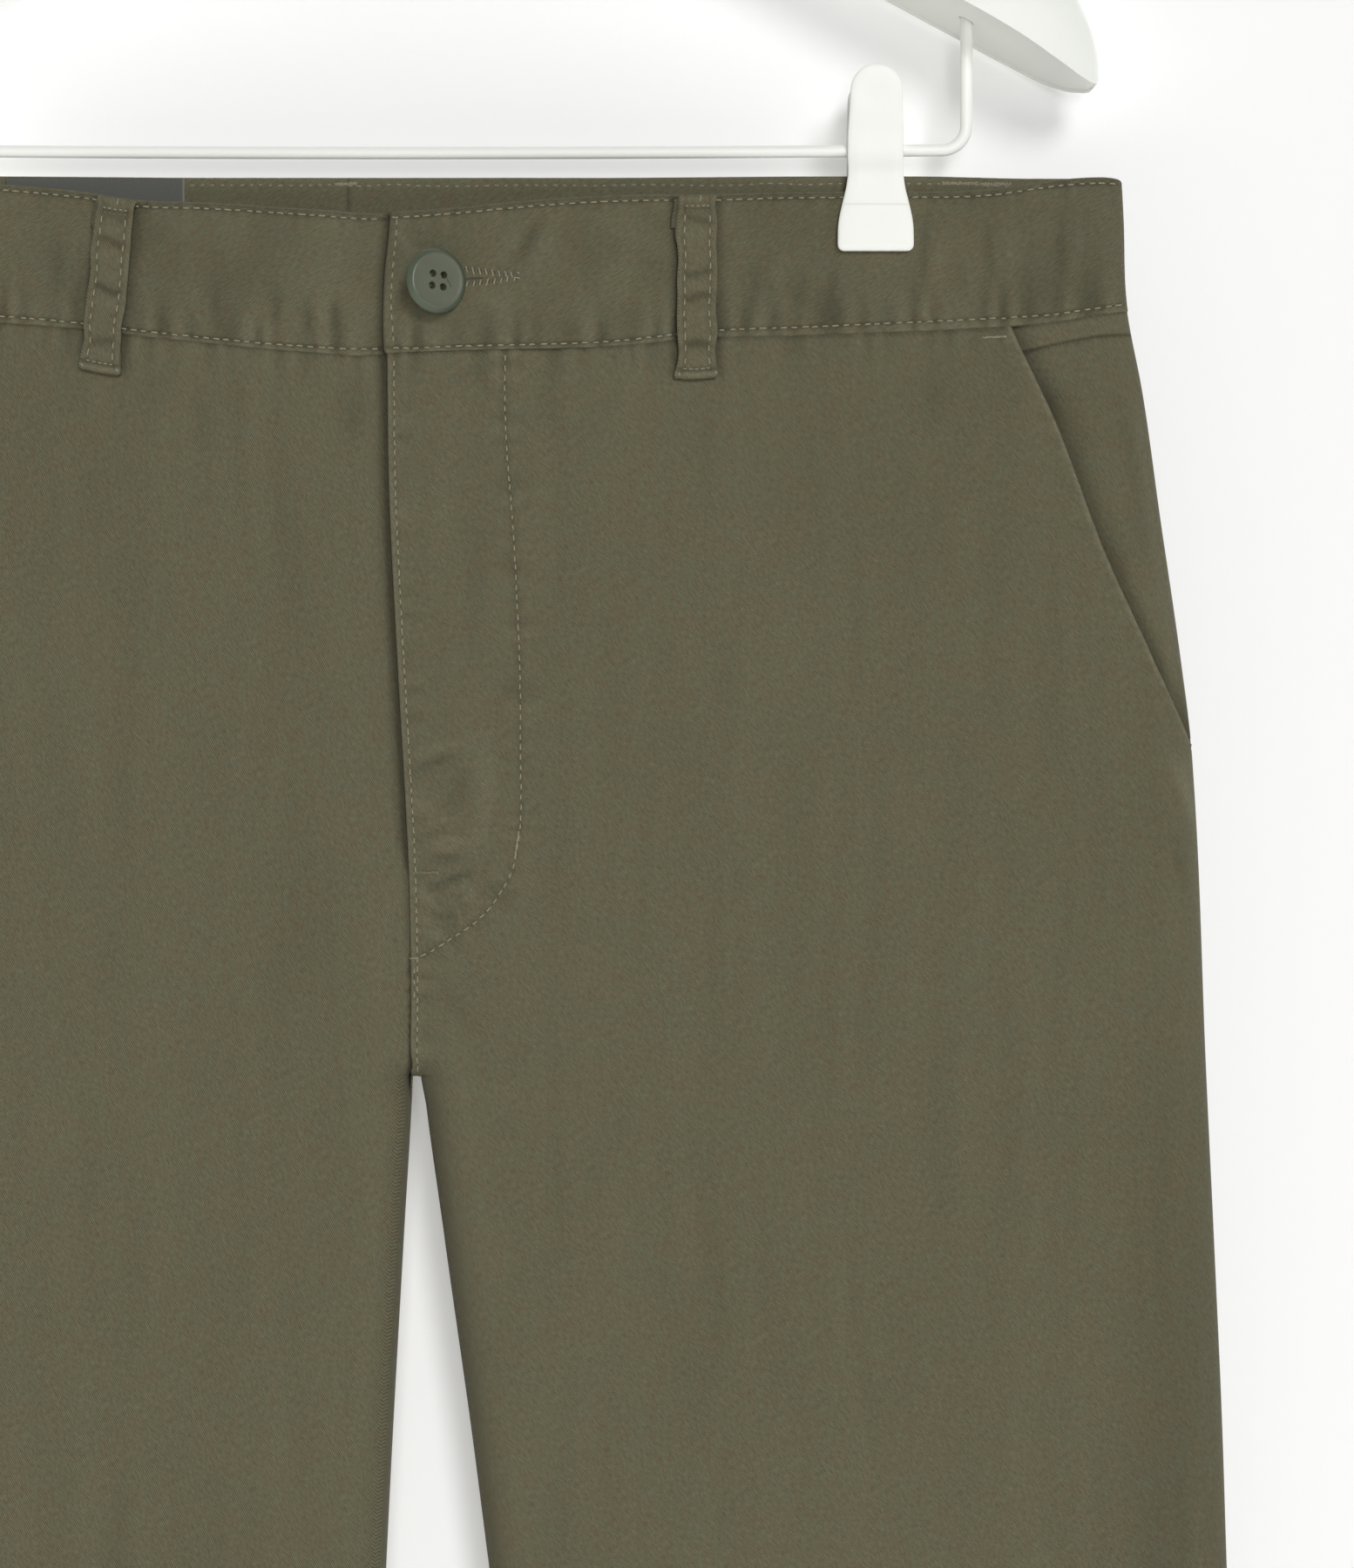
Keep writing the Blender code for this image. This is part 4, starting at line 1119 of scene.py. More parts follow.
# Creases: x, level, degrees, half length, half breadth, height
LEFT_CREASES = (
    (8.5, -166.8, 16, 11, 1.2, -0.46), (9.5, -164.2, 18, 12, 1.9, 0.36), (11, -195.0, 3, 9, 1.4, -0.40),
    (12, -191.5, 8, 8, 2.2, 0.36), (15, -200.2, 20, 6, 0.9, -0.45), (5.6, -207.3, -42, 5, 1.3, 0.42),
    (13, -212, -58, 5, 1.2, -0.45), (8, -216.4, -16, 5, 1.1, 0.42), (18, -205, -60, 6, 1.7, 0.34),
    (8.5, -211, -30, 5, 0.9, -0.34), (5, -180, -8, 6, 1.8, 0.24), (15, -176, 70, 10, 2.6, -0.22),
    (22, -168, 84, 16, 2.6, 0.22), (20, -120, 88, 34, 3.0, -0.14), (10, -96, 86, 26, 2.6, 0.12),
    (7, -188.5, 12, 6, 1.2, -0.30), (21, -187, 80, 12, 2.4, 0.24), (8, -203.6, 6, 6, 1.3, -0.34),
    (14, -237, -62, 12, 2.6, -0.20), (26, -232, -55, 16, 4.0, 0.18), (48, -70, 62, 16, 4.0, -0.16),
    (62, -62, 78, 12, 3.0, 0.14), (96, -66, 82, 14, 3.4, -0.14), (128, -72, 70, 18, 4.0, 0.15),
    (150, -66, 74, 12, 3.0, -0.14), (206, -176, 70, 16, 3.6, -0.13), (198, -190, 72, 20, 4.0, 0.14),
    (186, -214, 76, 26, 6.0, -0.20), (60, -150, 84, 44, 8.0, -0.16), (96, -214, 82, 40, 8.0, 0.16),
    (150, -262, 86, 46, 9.0, -0.18), (120, -330, 88, 60, 9.0, 0.18), (176, -346, 92, 50, 8.0, -0.22),
    (40, -300, 84, 50, 8.0, -0.16), (60, -390, 80, 40, 9.0, 0.18), (104, -430, 86, 40, 8.0, -0.18),
    (181, -428, 64, 10, 1.6, 0.20), (178, -396, 58, 9, 2.2, 0.14),
)
RIGHT_CREASES = (
    (-14, -66, 84, 14, 2.6, -0.14), (-34, -74, 98, 18, 3.4, 0.15), (-58, -70, 96, 14, 3.0, -0.14),
    (-88, -64, 92, 12, 3.0, 0.14), (-24, -196, 100, 26, 5.0, -0.26), (-34, -214, 104, 30, 6.0, 0.22),
    (-12, -240, 96, 18, 3.4, -0.22), (-60, -160, 94, 40, 8.0, 0.16), (-104, -206, 98, 40, 8.0, -0.18),
    (-150, -250, 94, 46, 9.0, 0.18), (-198, -190, 106, 20, 4.0, -0.22), (-128, -330, 92, 60, 9.0, -0.18),
    (-44, -330, 95, 50, 8.0, 0.18), (-80, -420, 94, 40, 9.0, -0.18), (-180, -410, 90, 40, 8.0, 0.18),
    (-30, -400, 97, 40, 8.0, -0.14),
)
BACK_CREASES = (
    (30, -70, 70, 16, 4.0, -0.18), (66, -64, 84, 14, 3.4, 0.16), (110, -70, 96, 18, 4.0, -0.16),
    (150, -66, 86, 14, 3.2, 0.15), (10, -214, 62, 22, 4.0, -0.28), (24, -236, 56, 20, 4.4, 0.26),
    (50, -250, 48, 22, 5.0, -0.24), (100, -230, 80, 44, 9.0, 0.18), (160, -300, 88, 50, 9.0, -0.20),
    (70, -360, 84, 54, 9.0, 0.20), (120, -420, 88, 40, 9.0, -0.18), (196, -210, 84, 36, 5.0, -0.20),
    (-40, -68, 100, 16, 4.0, -0.18), (-80, -64, 94, 14, 3.4, 0.16), (-126, -70, 88, 18, 4.0, -0.16),
    (-164, -66, 98, 14, 3.2, 0.15), (-24, -218, 118, 22, 4.0, -0.28), (-32, -240, 124, 20, 4.4, 0.26),
    (-60, -254, 130, 22, 5.0, -0.24), (-108, -236, 100, 44, 9.0, 0.18), (-158, -310, 92, 50, 9.0, -0.20),
    (-74, -350, 96, 54, 9.0, 0.20), (-124, -430, 90, 40, 9.0, -0.18), (-200, -220, 96, 36, 5.0, -0.20),
)
# Painted highlights (above 0) and painted shade (below 0) of folds, creases and the rounded side seam, with
# some uneven tone of the wash: x, level, degrees, half length, half breadth, how pale
LEFT_LIGHT_AND_SHADE = (
    (222.4, -177, 103, 15, 1.6, 1.00), (218.6, -171, 106, 10, 1.3, 0.60), (219.6, -196, 98, 12, 2.0, -0.35),
    (85, -320, 90, 78, 8, -0.11), (221, -360, 89, 165, 17, -0.32), (166, -400, 88, 90, 16, 0.05),
    (11, -190, 4, 9, 1.2, 0.50), (10, -184.5, 10, 8, 1.0, 0.35), (6, -206, -40, 4, 0.9, 0.50),
    (6.5, -213.5, -24, 4, 0.9, 0.42), (24, -176, 86, 12, 2.2, 0.35), (110, -130, 84, 60, 9, 0.06),
    (8, -168.5, 18, 9, 0.8, -0.35), (12, -201.5, 14, 8, 0.7, -0.50), (15.5, -208, -60, 5, 0.7, -0.35),
    (60, -64, 60, 9, 2.4, -0.20), (40, -68, 110, 10, 2.8, -0.15), (16, -58, 50, 7, 2.0, -0.25),
    (22, -60, 118, 7, 2.0, -0.22), (48, -58, 20, 8, 1.6, 0.20), (150, -60, 86, 9, 2.6, -0.15),
)
RIGHT_LIGHT_AND_SHADE = (
    (-30, -220, 96, 38, 9, -0.12), (-60, -420, 92, 70, 10, -0.06), (-46, -66, 96, 12, 2.6, -0.12),
    (-70, -62, 80, 9, 2.4, -0.15), (-16, -70, 100, 14, 3.0, -0.22), (-100, -130, 94, 50, 9, 0.06),
)


@dataclass
class Panels(Maker):
    """The two fronts, the two backs and the pocket facings, with the seams between them."""

    fly_lift: float = 0.6
    fly_sink: float = 0.9
    fly_plateau: float = 33.0
    fly_fade_width: float = 12.0
    fly_ramp: float = 14.0
    underlap: float = 10.0
    underlap_least: float = 2.0
    underlap_from: float = -250.0
    underlap_growth: float = 25.0
    pocket_end: float = -163.6
    facing_hidden: float = 18.0
    facing_sink: float = 1.8
    facing_rise: tuple[float, float] = (1, 12)
    seam_gap: float = 0.15
    pucker: float = 0.20
    pucker_reach: float = 7.0
    pucker_pitch: float = 7.5
    seat: Curve = Curve(((5, -18.0), (-60, -18.0), (-160, -10.0), (-257, 2.4)))
    mouth: Curve = Curve(POCKET_MOUTH)
    fly: Curve = Curve(FLY_EDGE)
    across_steps: Table = (
        (0, 0.5), (3, 0.8), (10, 1.5), (29, 1.4), (31, 0.9), (43, 0.9), (46, 1.6), (60, 2.0), (180, 2.0),
        (203, 1.6), (211, 0.9), (214, 0.5),
    )
    down_steps: Table = (
        (-487, 3.2), (-290, 3.0), (-263, 1.3), (-260, 0.5), (-254, 0.5), (-250, 1.3), (-228, 1.3),
        (-224, 1.0), (-186, 1.0), (-182, 1.6), (-80, 2.0), (-60, 1.4), (-47, 1.1), (-40, 1.1),
    )
    pieces: dict[str, Panel] = field(default_factory=dict)

    def fly_fade(self, level: Array) -> Array:
        """The fly's lift fades out just below the crotch."""
        return smoothstep((level - self.form.crotch) / self.form.crotch_fade + 1)

    def left_lift(self, x: Array, level: Array) -> Array:
        """The left front lies over the right one beside the fly."""
        past = x - self.fly(level)
        fading = 1 - smoothstep((past - self.fly_plateau) / self.fly_fade_width)
        return self.fly_lift * fading * self.fly_fade(level)

    def right_lift(self, x: Array, level: Array) -> Array:
        """The right front sinks under the left one."""
        past = x - self.fly(level) + self.fly_ramp + self.underlap_least
        return -self.fly_sink * smoothstep(past / self.fly_ramp) * self.fly_fade(level)

    def inner(self, level: Array, seam: Array, turn: float) -> Array:
        """A panel's inner edge: a seam, and below the crotch the inseam of the left (+1) or right (-1)
        leg."""
        form = self.form
        return np.where(level > form.crotch, seam, form.centre(level) + turn * form.half_gap(level))

    def left_inner(self, level: Array) -> Array:
        """Fly edge, and below the crotch the left inseam."""
        return self.inner(level, self.fly(level), 1.0)

    def right_inner(self, level: Array) -> Array:
        """The right front's edge behind the fly, and below the crotch the right inseam."""
        grown = smoothstep((level - self.underlap_from) / self.underlap_growth)
        reach = self.underlap_least + (self.underlap - self.underlap_least) * grown
        return self.inner(level, self.fly(level) + reach, -1.0)

    def left_outer(self, level: Array) -> Array:
        """Pocket mouth, and below its end the side seam."""
        side = self.form.side_edge(level)
        return np.where(level > self.pocket_end, np.minimum(self.mouth(level), side), side)

    def right_outer(self, level: Array) -> Array:
        """The other pocket's mouth and side seam, mirrored about the centre line."""
        return 2 * self.form.centre(level) - self.left_outer(level)

    def seam_puckers(self, x: Array, level: Array, side: Side, phase: float) -> Array:
        """Small gathers that run down from the waistband's seam."""
        away = np.maximum(self.form.seam_level(x, side) - level, 0)
        return self.pucker * ripple(x, self.pucker_pitch, phase) * bell(away, self.pucker_reach)

    def edge_ripple(self, along: Array, away: Array, phase: float, height: float = 0.12) -> Array:
        """A pressed edge's small unevenness, which fades in from it."""
        return height * ripple(along, 11, phase) * bell(away, 6)

    def fly_stitch_dent(self, x: Array, level: Array) -> Array:
        """The curved stitch line sinks into the cloth, with small gathers at both sides of it."""
        path = smooth_path(FLY_STITCH, 1.5)
        near = (x > -8) & (x < 44) & (level > -236)
        away = np.full(np.broadcast(x, level).shape, 1000.0)
        along = np.zeros(away.shape)
        if near.any():
            here = np.stack(
                [np.broadcast_to(x, away.shape)[near], np.broadcast_to(level, away.shape)[near]], -1
            )
            gap = np.linalg.norm(here[:, None] - path[None], axis=-1)
            away[near] = gap.min(axis=1)
            along[near] = gap.argmin(axis=1) * 1.5
        dent = -0.16 * bell(away, 0.9)
        gathers = 0.09 * ripple(along, 6.5, 0.4) * bell(away - 2.5, 2.5)
        return dent + gathers

    def left_relief(self, x: Array, level: Array) -> Array:
        """All the small forms of the left front."""
        below = self.fly_fade(level)
        return (
            self.seam_puckers(x, level, Side.FRONT, 0.7)
            + self.edge_ripple(level, x - self.fly(level), 0.3) * below
            + self.edge_ripple(level, self.left_outer(level) - x, 1.9, 0.16)
            + self.fly_stitch_dent(x, level)
            + creases(x, level, LEFT_CREASES)
            + crumple(x, level, 0.8)
        )

    def right_relief(self, x: Array, level: Array) -> Array:
        """All the small forms of the right front."""
        return (
            self.seam_puckers(x, level, Side.FRONT, 2.9)
            + self.edge_ripple(level, x - self.right_outer(level), 4.1, 0.16)
            + creases(x, level, RIGHT_CREASES)
            + crumple(x, level, 3.3)
        )

    def back_relief(self, x: Array, level: Array) -> Array:
        """All the small forms of the two backs, with the seat seam's groove."""
        to_seat = x - self.seat(level)
        groove = -0.35 * bell(to_seat, 0.8) * (level > self.form.crotch)
        gathers = 0.12 * ripple(level, 9, 1.1) * bell(to_seat, 5)
        return (
            self.seam_puckers(x, level, Side.BACK, 5.2)
            + groove + gathers * (level > self.form.crotch)
            + creases(x, level, BACK_CREASES)
            + crumple(x, level, 6.1)
        )

    def off_seam(self, x: Array, level: Array) -> Array:
        """0 at the side seams and inseams, which hold the cloth smooth, and 1 away from them."""
        from_centre = np.abs(x - self.form.centre(level))
        inseam = smoothstep(self.form.to_crotch(x, level) / 8)
        return smoothstep((self.form.half_width(level) - from_centre) / 9) * inseam

    def under_band(self, x: Array, level: Array, side: Side) -> Array:
        """Painted shadow: darker cloth close under the waistband, with the painted shadows beside the loops.
        """
        away = self.form.seam_level(x, side) - level
        return -0.9 * bell(np.maximum(away, 0), 0.7) + loop_shadows(self.form, x, level, side)

    def left_shade(self, x: Array, level: Array) -> Array:
        """Painted light and shade of the left front, with the wash's paling and streaks: painted shadow under
        the band and beside the loops, painted shade in the curved stitch line, creases and puckers, and
        painted highlights on their ridges and along the pocket mouth's edge."""
        gathers = ripple(level, 9, 0.2) * bell(x - self.fly(level) - 4, 3)
        worn_and_shaded = crease_paling_and_shade(x, level, LEFT_CREASES) + self.seam_puckers(x, level, Side.FRONT, 0.7) / 0.5
        worn_and_shaded = worn_and_shaded + self.fly_stitch_dent(x, level) / 0.30 + creases(x, level, LEFT_LIGHT_AND_SHADE)
        away = self.left_outer(level) - x
        mouth = 0.3 * ripple(level, 8, 1.9) * bell(away, 4.5)
        rim = (0.40 + 0.35 * ripple(level, 3.4, 0.5)) * bell(away - 0.7, 0.8)
        worn_and_shaded = worn_and_shaded + (mouth + rim) * (level > self.pocket_end) + streaks(x, level, 0.4)
        return self.under_band(x, level, Side.FRONT) + 0.3 * gathers * self.fly_fade(level) + worn_and_shaded

    def right_shade(self, x: Array, level: Array) -> Array:
        """Painted light and shade of the right front: a painted shadow beside the fly's edge, narrower under
        the fly's end, and under the band, with painted light and shade on creases, puckers and folds, and the
        wash's streaks.
        """
        wide = 0.5 + 1.6 * smoothstep((level + 202) / 14)
        beside = bell(np.maximum(self.fly(level) - x, 0), wide) * self.fly_fade(level)
        worn_and_shaded = crease_paling_and_shade(x, level, RIGHT_CREASES) + self.seam_puckers(x, level, Side.FRONT, 2.9) / 0.5
        worn_and_shaded = worn_and_shaded + streaks(x, level, 2.6)
        return self.under_band(x, level, Side.FRONT) - 1.9 * beside + worn_and_shaded + creases(x, level, RIGHT_LIGHT_AND_SHADE)

    def back_shade(self, x: Array, level: Array) -> Array:
        """Painted light and shade of the backs: a painted shadow under the band, painted shade in the seat
        seam, painted light and shade on the puckers, and the wash's streaks.
        """
        seam = 1.2 * bell(x - self.seat(level), 0.6) * self.fly_fade(level)
        worn_and_shaded = self.seam_puckers(x, level, Side.BACK, 5.2) / 0.6 + streaks(x, level, 4.9)
        return self.under_band(x, level, Side.BACK) - seam + worn_and_shaded

    def panel(self, name: str, side: Side, low: Callable, high: Callable, lift: Callable, relief: Callable,
              shade: Callable, folded: tuple[Callable, Callable], ribs: float, coarse: float) -> Panel:
        """One panel of this garment, kept under its name."""
        steps = (self.across_steps, self.down_steps)
        across, down = (tuple((place, coarse * step) for place, step in table) for table in steps)
        made = Panel(
            self.form, name, side, low, high, lift,
            lambda x, level: relief(x, level) * self.off_seam(x, level), shade, *folded, ribs, across, down,
        )
        self.pieces[name] = made
        return made

    def build(self) -> None:
        """Makes the fronts, the backs and the facings."""
        def plain(level: Array) -> Array:
            """Nowhere folded."""
            return np.zeros(np.shape(level))

        def above_crotch(level: Array) -> Array:
            """Folded along the fly, down to just above the crotch."""
            return smoothstep((level - self.form.crotch - 1.5) / 9)

        def above_pocket_end(level: Array) -> Array:
            """Folded along the pocket's mouth."""
            return smoothstep((level - self.pocket_end) / 3)

        def flat(x: Array, level: Array) -> Array:
            """No lift."""
            return np.zeros(np.broadcast(x, level).shape)

        left_seat, right_seat = (
            lambda level, turn=turn: self.inner(level, self.seat(level) + turn * self.seam_gap, turn)
            for turn in (1.0, -1.0)
        )
        form, twill, front, back = self.form, self.finishes.twill, Side.FRONT, Side.BACK
        for name, side, low, high, lift, relief, shade, folded, ribs, coarse in (
            ("front_left", front, self.left_inner, self.left_outer, self.left_lift, self.left_relief,
             self.left_shade, (above_crotch, above_pocket_end), 54.0, 1.0),
            ("front_right", front, self.right_outer, self.right_inner, self.right_lift, self.right_relief,
             self.right_shade, (above_pocket_end, plain), 62.0, 1.1),
            ("back_left", back, left_seat, form.side_edge, flat, self.back_relief,
             self.back_shade, (plain, plain), 125.0, 1.45),
            ("back_right", back, lambda level: form.centre(level) - form.half_width(level), right_seat, flat,
             self.back_relief, self.back_shade, (plain, plain), 118.0, 1.45),
        ):
            self.panel(name, side, low, high, lift, relief, shade, folded, ribs, coarse).build(twill)
        self.build_facings(twill)

    def outward(self, turn: float, x: Array, level: Array) -> Array:
        """x mirrored about the centre line for the right side, so that it grows towards the side seam."""
        return self.form.centre(level) + turn * (x - self.form.centre(level))

    def ledge_line(self, outward: Array) -> Array:
        """Level of the seam allowance's edge that shows through the facing."""
        return np.interp(outward, (170, 175, 187, 196, 206), (-52.5, -50.6, -48.0, -46.3, -45.5))

    def facing_lift(self, turn: float, x: Array, level: Array) -> Array:
        """The facing lies under the mouth's edge, then rises to the surface at the side."""
        past = self.outward(turn, x, level) - self.mouth(level)
        room = np.clip(self.form.side_edge(level) - self.mouth(level), 0.2, self.facing_rise[1])
        start = np.minimum(self.facing_rise[0], 0.3 * room)
        risen = smoothstep((past - start) / (0.85 * room - start))
        return -self.facing_sink * (1 - risen * (level > self.pocket_end - 3))

    def facing_relief(self, turn: float, x: Array, level: Array) -> Array:
        """A ledge of the seam allowance under the waistband, soft folds towards the side seam, and
        crumple."""
        outward = turn * x
        line = self.ledge_line(outward)
        ledge = 0.42 * smoothstep((level - line) / 0.7 + 0.5)
        trough = -0.20 * bell(level - line + 0.7, 0.7)
        folds = creases(outward, level, (
            (212, -128, 112, 22, 1.8, 0.16), (217, -146, 112, 18, 1.6, -0.18), (200, -96, 100, 24, 4.0, 0.14),
            (206, -84, 96, 26, 3.0, -0.14), (190, -70, 106, 14, 3.4, -0.12),
        ))
        return ledge + trough + folds + 0.8 * crumple(x, level, 1.4 + turn)

    def facing_shade(self, turn: float, x: Array, level: Array) -> Array:
        """Painted light and shade of a facing: a painted shadow beside the mouth's edge, painted shade under
        the ledge, a darker patch, a painted highlight along the side seam, painted shading of the relief, and
        the painted shadow under the band.
        """
        outward = self.outward(turn, x, level)
        past, line = outward - self.mouth(level), self.ledge_line(outward)
        beside = -0.95 * bell(np.maximum(past, 0), 3.8)
        groove = -1.1 * bell(level - line + 0.35, 0.45)
        patch = -0.35 * bell(outward - 183, 4) * bell(level + 66, 6)
        to_side = self.form.side_edge(level) - outward
        strip = 0.35 * bell(to_side - 3.5, 1.6) * smoothstep((-62 - level) / 8)
        relief_shading = 0.5 * np.clip(self.facing_relief(turn, x, level) / 0.5, -0.5, 0.3)
        return beside + groove + patch + strip + relief_shading + self.under_band(x, level, Side.FRONT)

    def build_facings(self, finish: Material) -> None:
        """The pieces that show in the slanted pocket mouths."""
        nominal = stations(-40, -171, ((-171, 2.0), (-64, 1.6), (-57, 0.4), (-44, 0.4), (-40, 0.9)))[:, None]
        width = self.facing_hidden + 37
        steps = ((0, 2.0), (14, 1.0), (34, 1.2), (46, 1.0), (52, 0.5), (55, 0.25))
        share = stations(0, width, steps)[None, :] / width
        panel = self.pieces["front_left"]
        for name, turn in (("pocket_facing_left", 1.0), ("pocket_facing_right", -1.0)):
            level = nominal + 0 * share
            for _ in range(panel.passes):
                hidden = self.mouth(level) - self.facing_hidden
                outward = hidden + (self.form.side_edge(level) - hidden) * share
                x = self.outward(turn, outward, level)
                level = panel.level(x, nominal)
            raised = self.facing_relief(turn, x, level) * self.off_seam(x, level)
            points = self.form.points(x, level, Side.FRONT, self.facing_lift(turn, x, level) + raised)
            across = turn * cloth_length(points[..., :2], 1, 0.0) + x[:, :1]
            down = level[:1] - cloth_length(points[..., 1:], 0, 0.0)
            piece = add_piece(
                name + "_cloth", points, grid_faces(*x.shape, flip=turn < 0), finish, [name],
                weave_uv(across, down, 58.0 if turn > 0 else 60.0), self.facing_shade(turn, x, level),
            )
            thicken(piece, panel.thickness)
            spans = np.linalg.norm(np.diff(points, axis=1), axis=-1).sum(axis=1)


# ---------------------------------------------------------------- waistband
# Lower stitch line of the front waistband over its seam: x, distance
BAND_STITCH = (
    (-206, 2.0), (-114, 1.9), (-90, 1.6), (-54, 1.5), (-26, 1.7), (-7, 1.8), (0, 1.2), (16, 1.2), (58, 1.4),
    (88, 2.0), (117, 2.4), (170, 2.5), (206, 2.0),
)
# Soft forms of the front waistband: x, level, degrees, half length, half breadth, height
BAND_CREASES = (
    (35, -20, 62, 10, 1.8, -0.18), (40, -21, 64, 11, 2.0, 0.12), (30, -20, 58, 8, 1.6, 0.10),
    (0, -21, 124, 9, 1.3, 0.20), (-1, -36, 60, 8, 1.6, -0.14), (24, -37, -28, 9, 1.6, 0.12),
    (52, -30, 96, 12, 2.6, -0.07), (62, -28, 88, 14, 2.4, 0.06), (99, -34, 88, 10, 1.6, -0.14),
    (106, -31, 94, 12, 2.0, 0.10), (112, -33, 90, 9, 1.5, -0.10), (121, -32, 88, 10, 1.5, -0.10),
    (147.5, -22, 88, 17, 1.5, -0.16), (152, -24, 84, 15, 2.0, 0.10), (158, -30, 90, 10, 1.4, -0.10),
    (166, -24, 92, 16, 1.5, -0.15), (172, -22, 86, 15, 2.0, 0.10), (186, -22, 90, 15, 1.4, -0.14),
    (191, -22, 88, 13, 1.8, 0.08), (-20, -41, 90, 8, 1.4, -0.18), (-24, -41, 90, 8, 1.4, 0.12),
    (-28, -41, 94, 8, 1.3, -0.15), (-37, -39, 86, 9, 1.5, -0.16), (-42, -38, 90, 9, 1.6, 0.10),
    (-54, -38, 92, 9, 1.5, -0.14), (-60, -36, 96, 9, 1.8, 0.08), (-92, -30, 90, 13, 3.2, -0.10),
    (-100, -26, 96, 13, 2.4, -0.12), (-124, -26, 92, 12, 2.4, 0.08), (-146, -26, 90, 14, 1.8, -0.12),
    (-166, -24, 94, 14, 2.0, 0.08), (-184, -24, 88, 14, 1.6, -0.12),
)


@dataclass
class Waistband(Maker):
    """The two halves of the waistband: folded tubes of cloth from the front end round the side to the centre
    back."""

    seat: Curve
    height: float = 41.0
    cloth: float = 2.4
    proud: float = 0.7
    left_end: float = -6.2
    right_end: float = 30.0
    lifted: float = 1.2
    sunk: float = 1.5
    plateau: float = 40.0
    fade: float = 33.0
    ramp: float = 16.0
    ramp_width: float = 14.0
    end_round: float = 1.2
    corner_round: float = 1.3
    lip: float = 0.75
    top_stitch: float = 1.9
    end_line: Curve = Curve(((5, -4.6), (-13, -4.6), (-31.8, -6.3), (-44, -6.6), (-60, -5.6)))
    low_stitch: Curve = Curve(BAND_STITCH)

    def lift(self, x: Array, turn: float) -> Array:
        """How far a half stands off the panels' surface at the front."""
        if turn > 0:
            return self.proud + self.lifted * (1 - smoothstep((x - self.left_end - self.plateau) / self.fade))
        return self.proud - self.sunk * smoothstep((x - self.left_end + self.ramp) / self.ramp_width)

    def stitch_level(self, x: Array, side: Side) -> Array:
        """Level of the lower stitch line."""
        over = self.low_stitch(x) if side is Side.FRONT else 2.0
        return self.form.seam_level(x, side) + over

    def relief(self, x: Array, level: Array, side: Side) -> Array:
        """Gathers over the lower seam, finer ones under the top stitch line, both lines' dents and soft
        folds."""
        top, seam = self.form.top_level(x, side), self.form.seam_level(x, side)
        line, high = self.stitch_level(x, side), top - self.top_stitch
        phase = 0.4 if side is Side.FRONT else 2.7
        over = np.maximum(level - line, 0)
        gathers = 0.21 * ripple(x, 8.2, phase) * bell(over, 8)
        under = np.maximum(high - level, 0)
        fine = 0.08 * ripple(x, 5.1, phase + 1) * bell(under, 4)
        slanted = 0.10 * ripple(x + 0.8 * level, 3.3, phase + 2)
        lips = slanted * ((level < line) | (level > high))
        dents = -0.20 * (bell(level - line, 0.6) + bell(level - high, 0.6))
        rows = BAND_CREASES if side is Side.FRONT else tuple((-a, *rest) for a, *rest in BAND_CREASES[6:])
        inside = smoothstep((level - seam) / 2)
        forms = creases(x, level, rows) * inside + 0.5 * crumple(x, level, phase + 5)
        return gathers + fine + lips + dents + forms

    def front(self, turn: float) -> Surface:
        """The outer face of a half at the front."""
        return lambda x, level: self.form.points(
            x, level, Side.FRONT, self.lift(x, turn) + self.relief(x, level, Side.FRONT)
        )

    def back(self, x: Array, level: Array) -> Array:
        """The outer face at the back."""
        return self.form.points(x, level, Side.BACK, self.proud + self.relief(x, level, Side.BACK))

    def inside_line(self, x: Array) -> Array:
        """Level of the uneven line of stitches on the inner face."""
        return -2.0 + 0.28 * ripple(x, 31, 0.9)

    def inside_relief(self, x: Array, level: Array) -> Array:
        """Small forms of the inner face: a rounded edge over the stitch line, its dent, and short upright
        folds."""
        line = self.inside_line(x)
        dent = -0.24 * bell(level - line, 0.7)
        gathers = 0.10 * ripple(x, 4.7, 3.3) * bell(np.minimum(level - line, 0), 3)
        folds = creases(x, level, (
            (-29.6, -7.5, 94, 4, 0.7, -0.35), (-28.4, -7.5, 94, 5, 0.9, 0.2), (-52, -9, 70, 9, 1.6, -0.12),
            (40, -8, 110, 9, 1.8, -0.12), (70, -7, 80, 9, 1.6, 0.10),
        ))
        return dent + gathers + folds + 0.5 * crumple(x, level, 4.4)

    def back_inside(self, x: Array, level: Array) -> Array:
        """The inner face at the back."""
        return self.form.points(x, level, Side.BACK, self.proud - self.cloth - self.inside_relief(x, level))

    def section(self) -> tuple[Array, Array, Array]:
        """The band's section as a closed run: share of the height, distance added to it, and drop, from the
        outer face's top down, round the lower lip, up the inner face and over the rounded top."""
        half = self.cloth / 2
        thousandths = ((0, 12), (40, 12), (62, 30), (300, 42), (700, 42), (930, 16), (1000, 10))
        outer = stations(0, 1000, thousandths) / 1000
        inner = np.linspace(1, 0, 12)
        quarter = np.linspace(0, np.pi / 2, 4)[1:]
        top = np.linspace(np.pi, 0, 9)[1:-1]
        share = np.concatenate([outer, np.ones(3), np.ones(3), inner, np.zeros(7)])
        added = np.concatenate([
            0 * outer, self.lip * np.sin(quarter), np.array([self.lip, self.lip, 0.6 * self.lip]), 0 * inner,
            -half * np.sin(top),
        ])
        drop = np.concatenate([
            0 * outer, self.lip * (1 - np.cos(quarter)),
            np.array([self.cloth - 0.9 * self.lip, self.cloth - 0.4 * self.lip, self.cloth - 0.1 * self.lip]),
            self.cloth + 0 * inner, half * (1 - np.cos(top)),
        ])
        return share[:, None], added[:, None], drop[:, None]

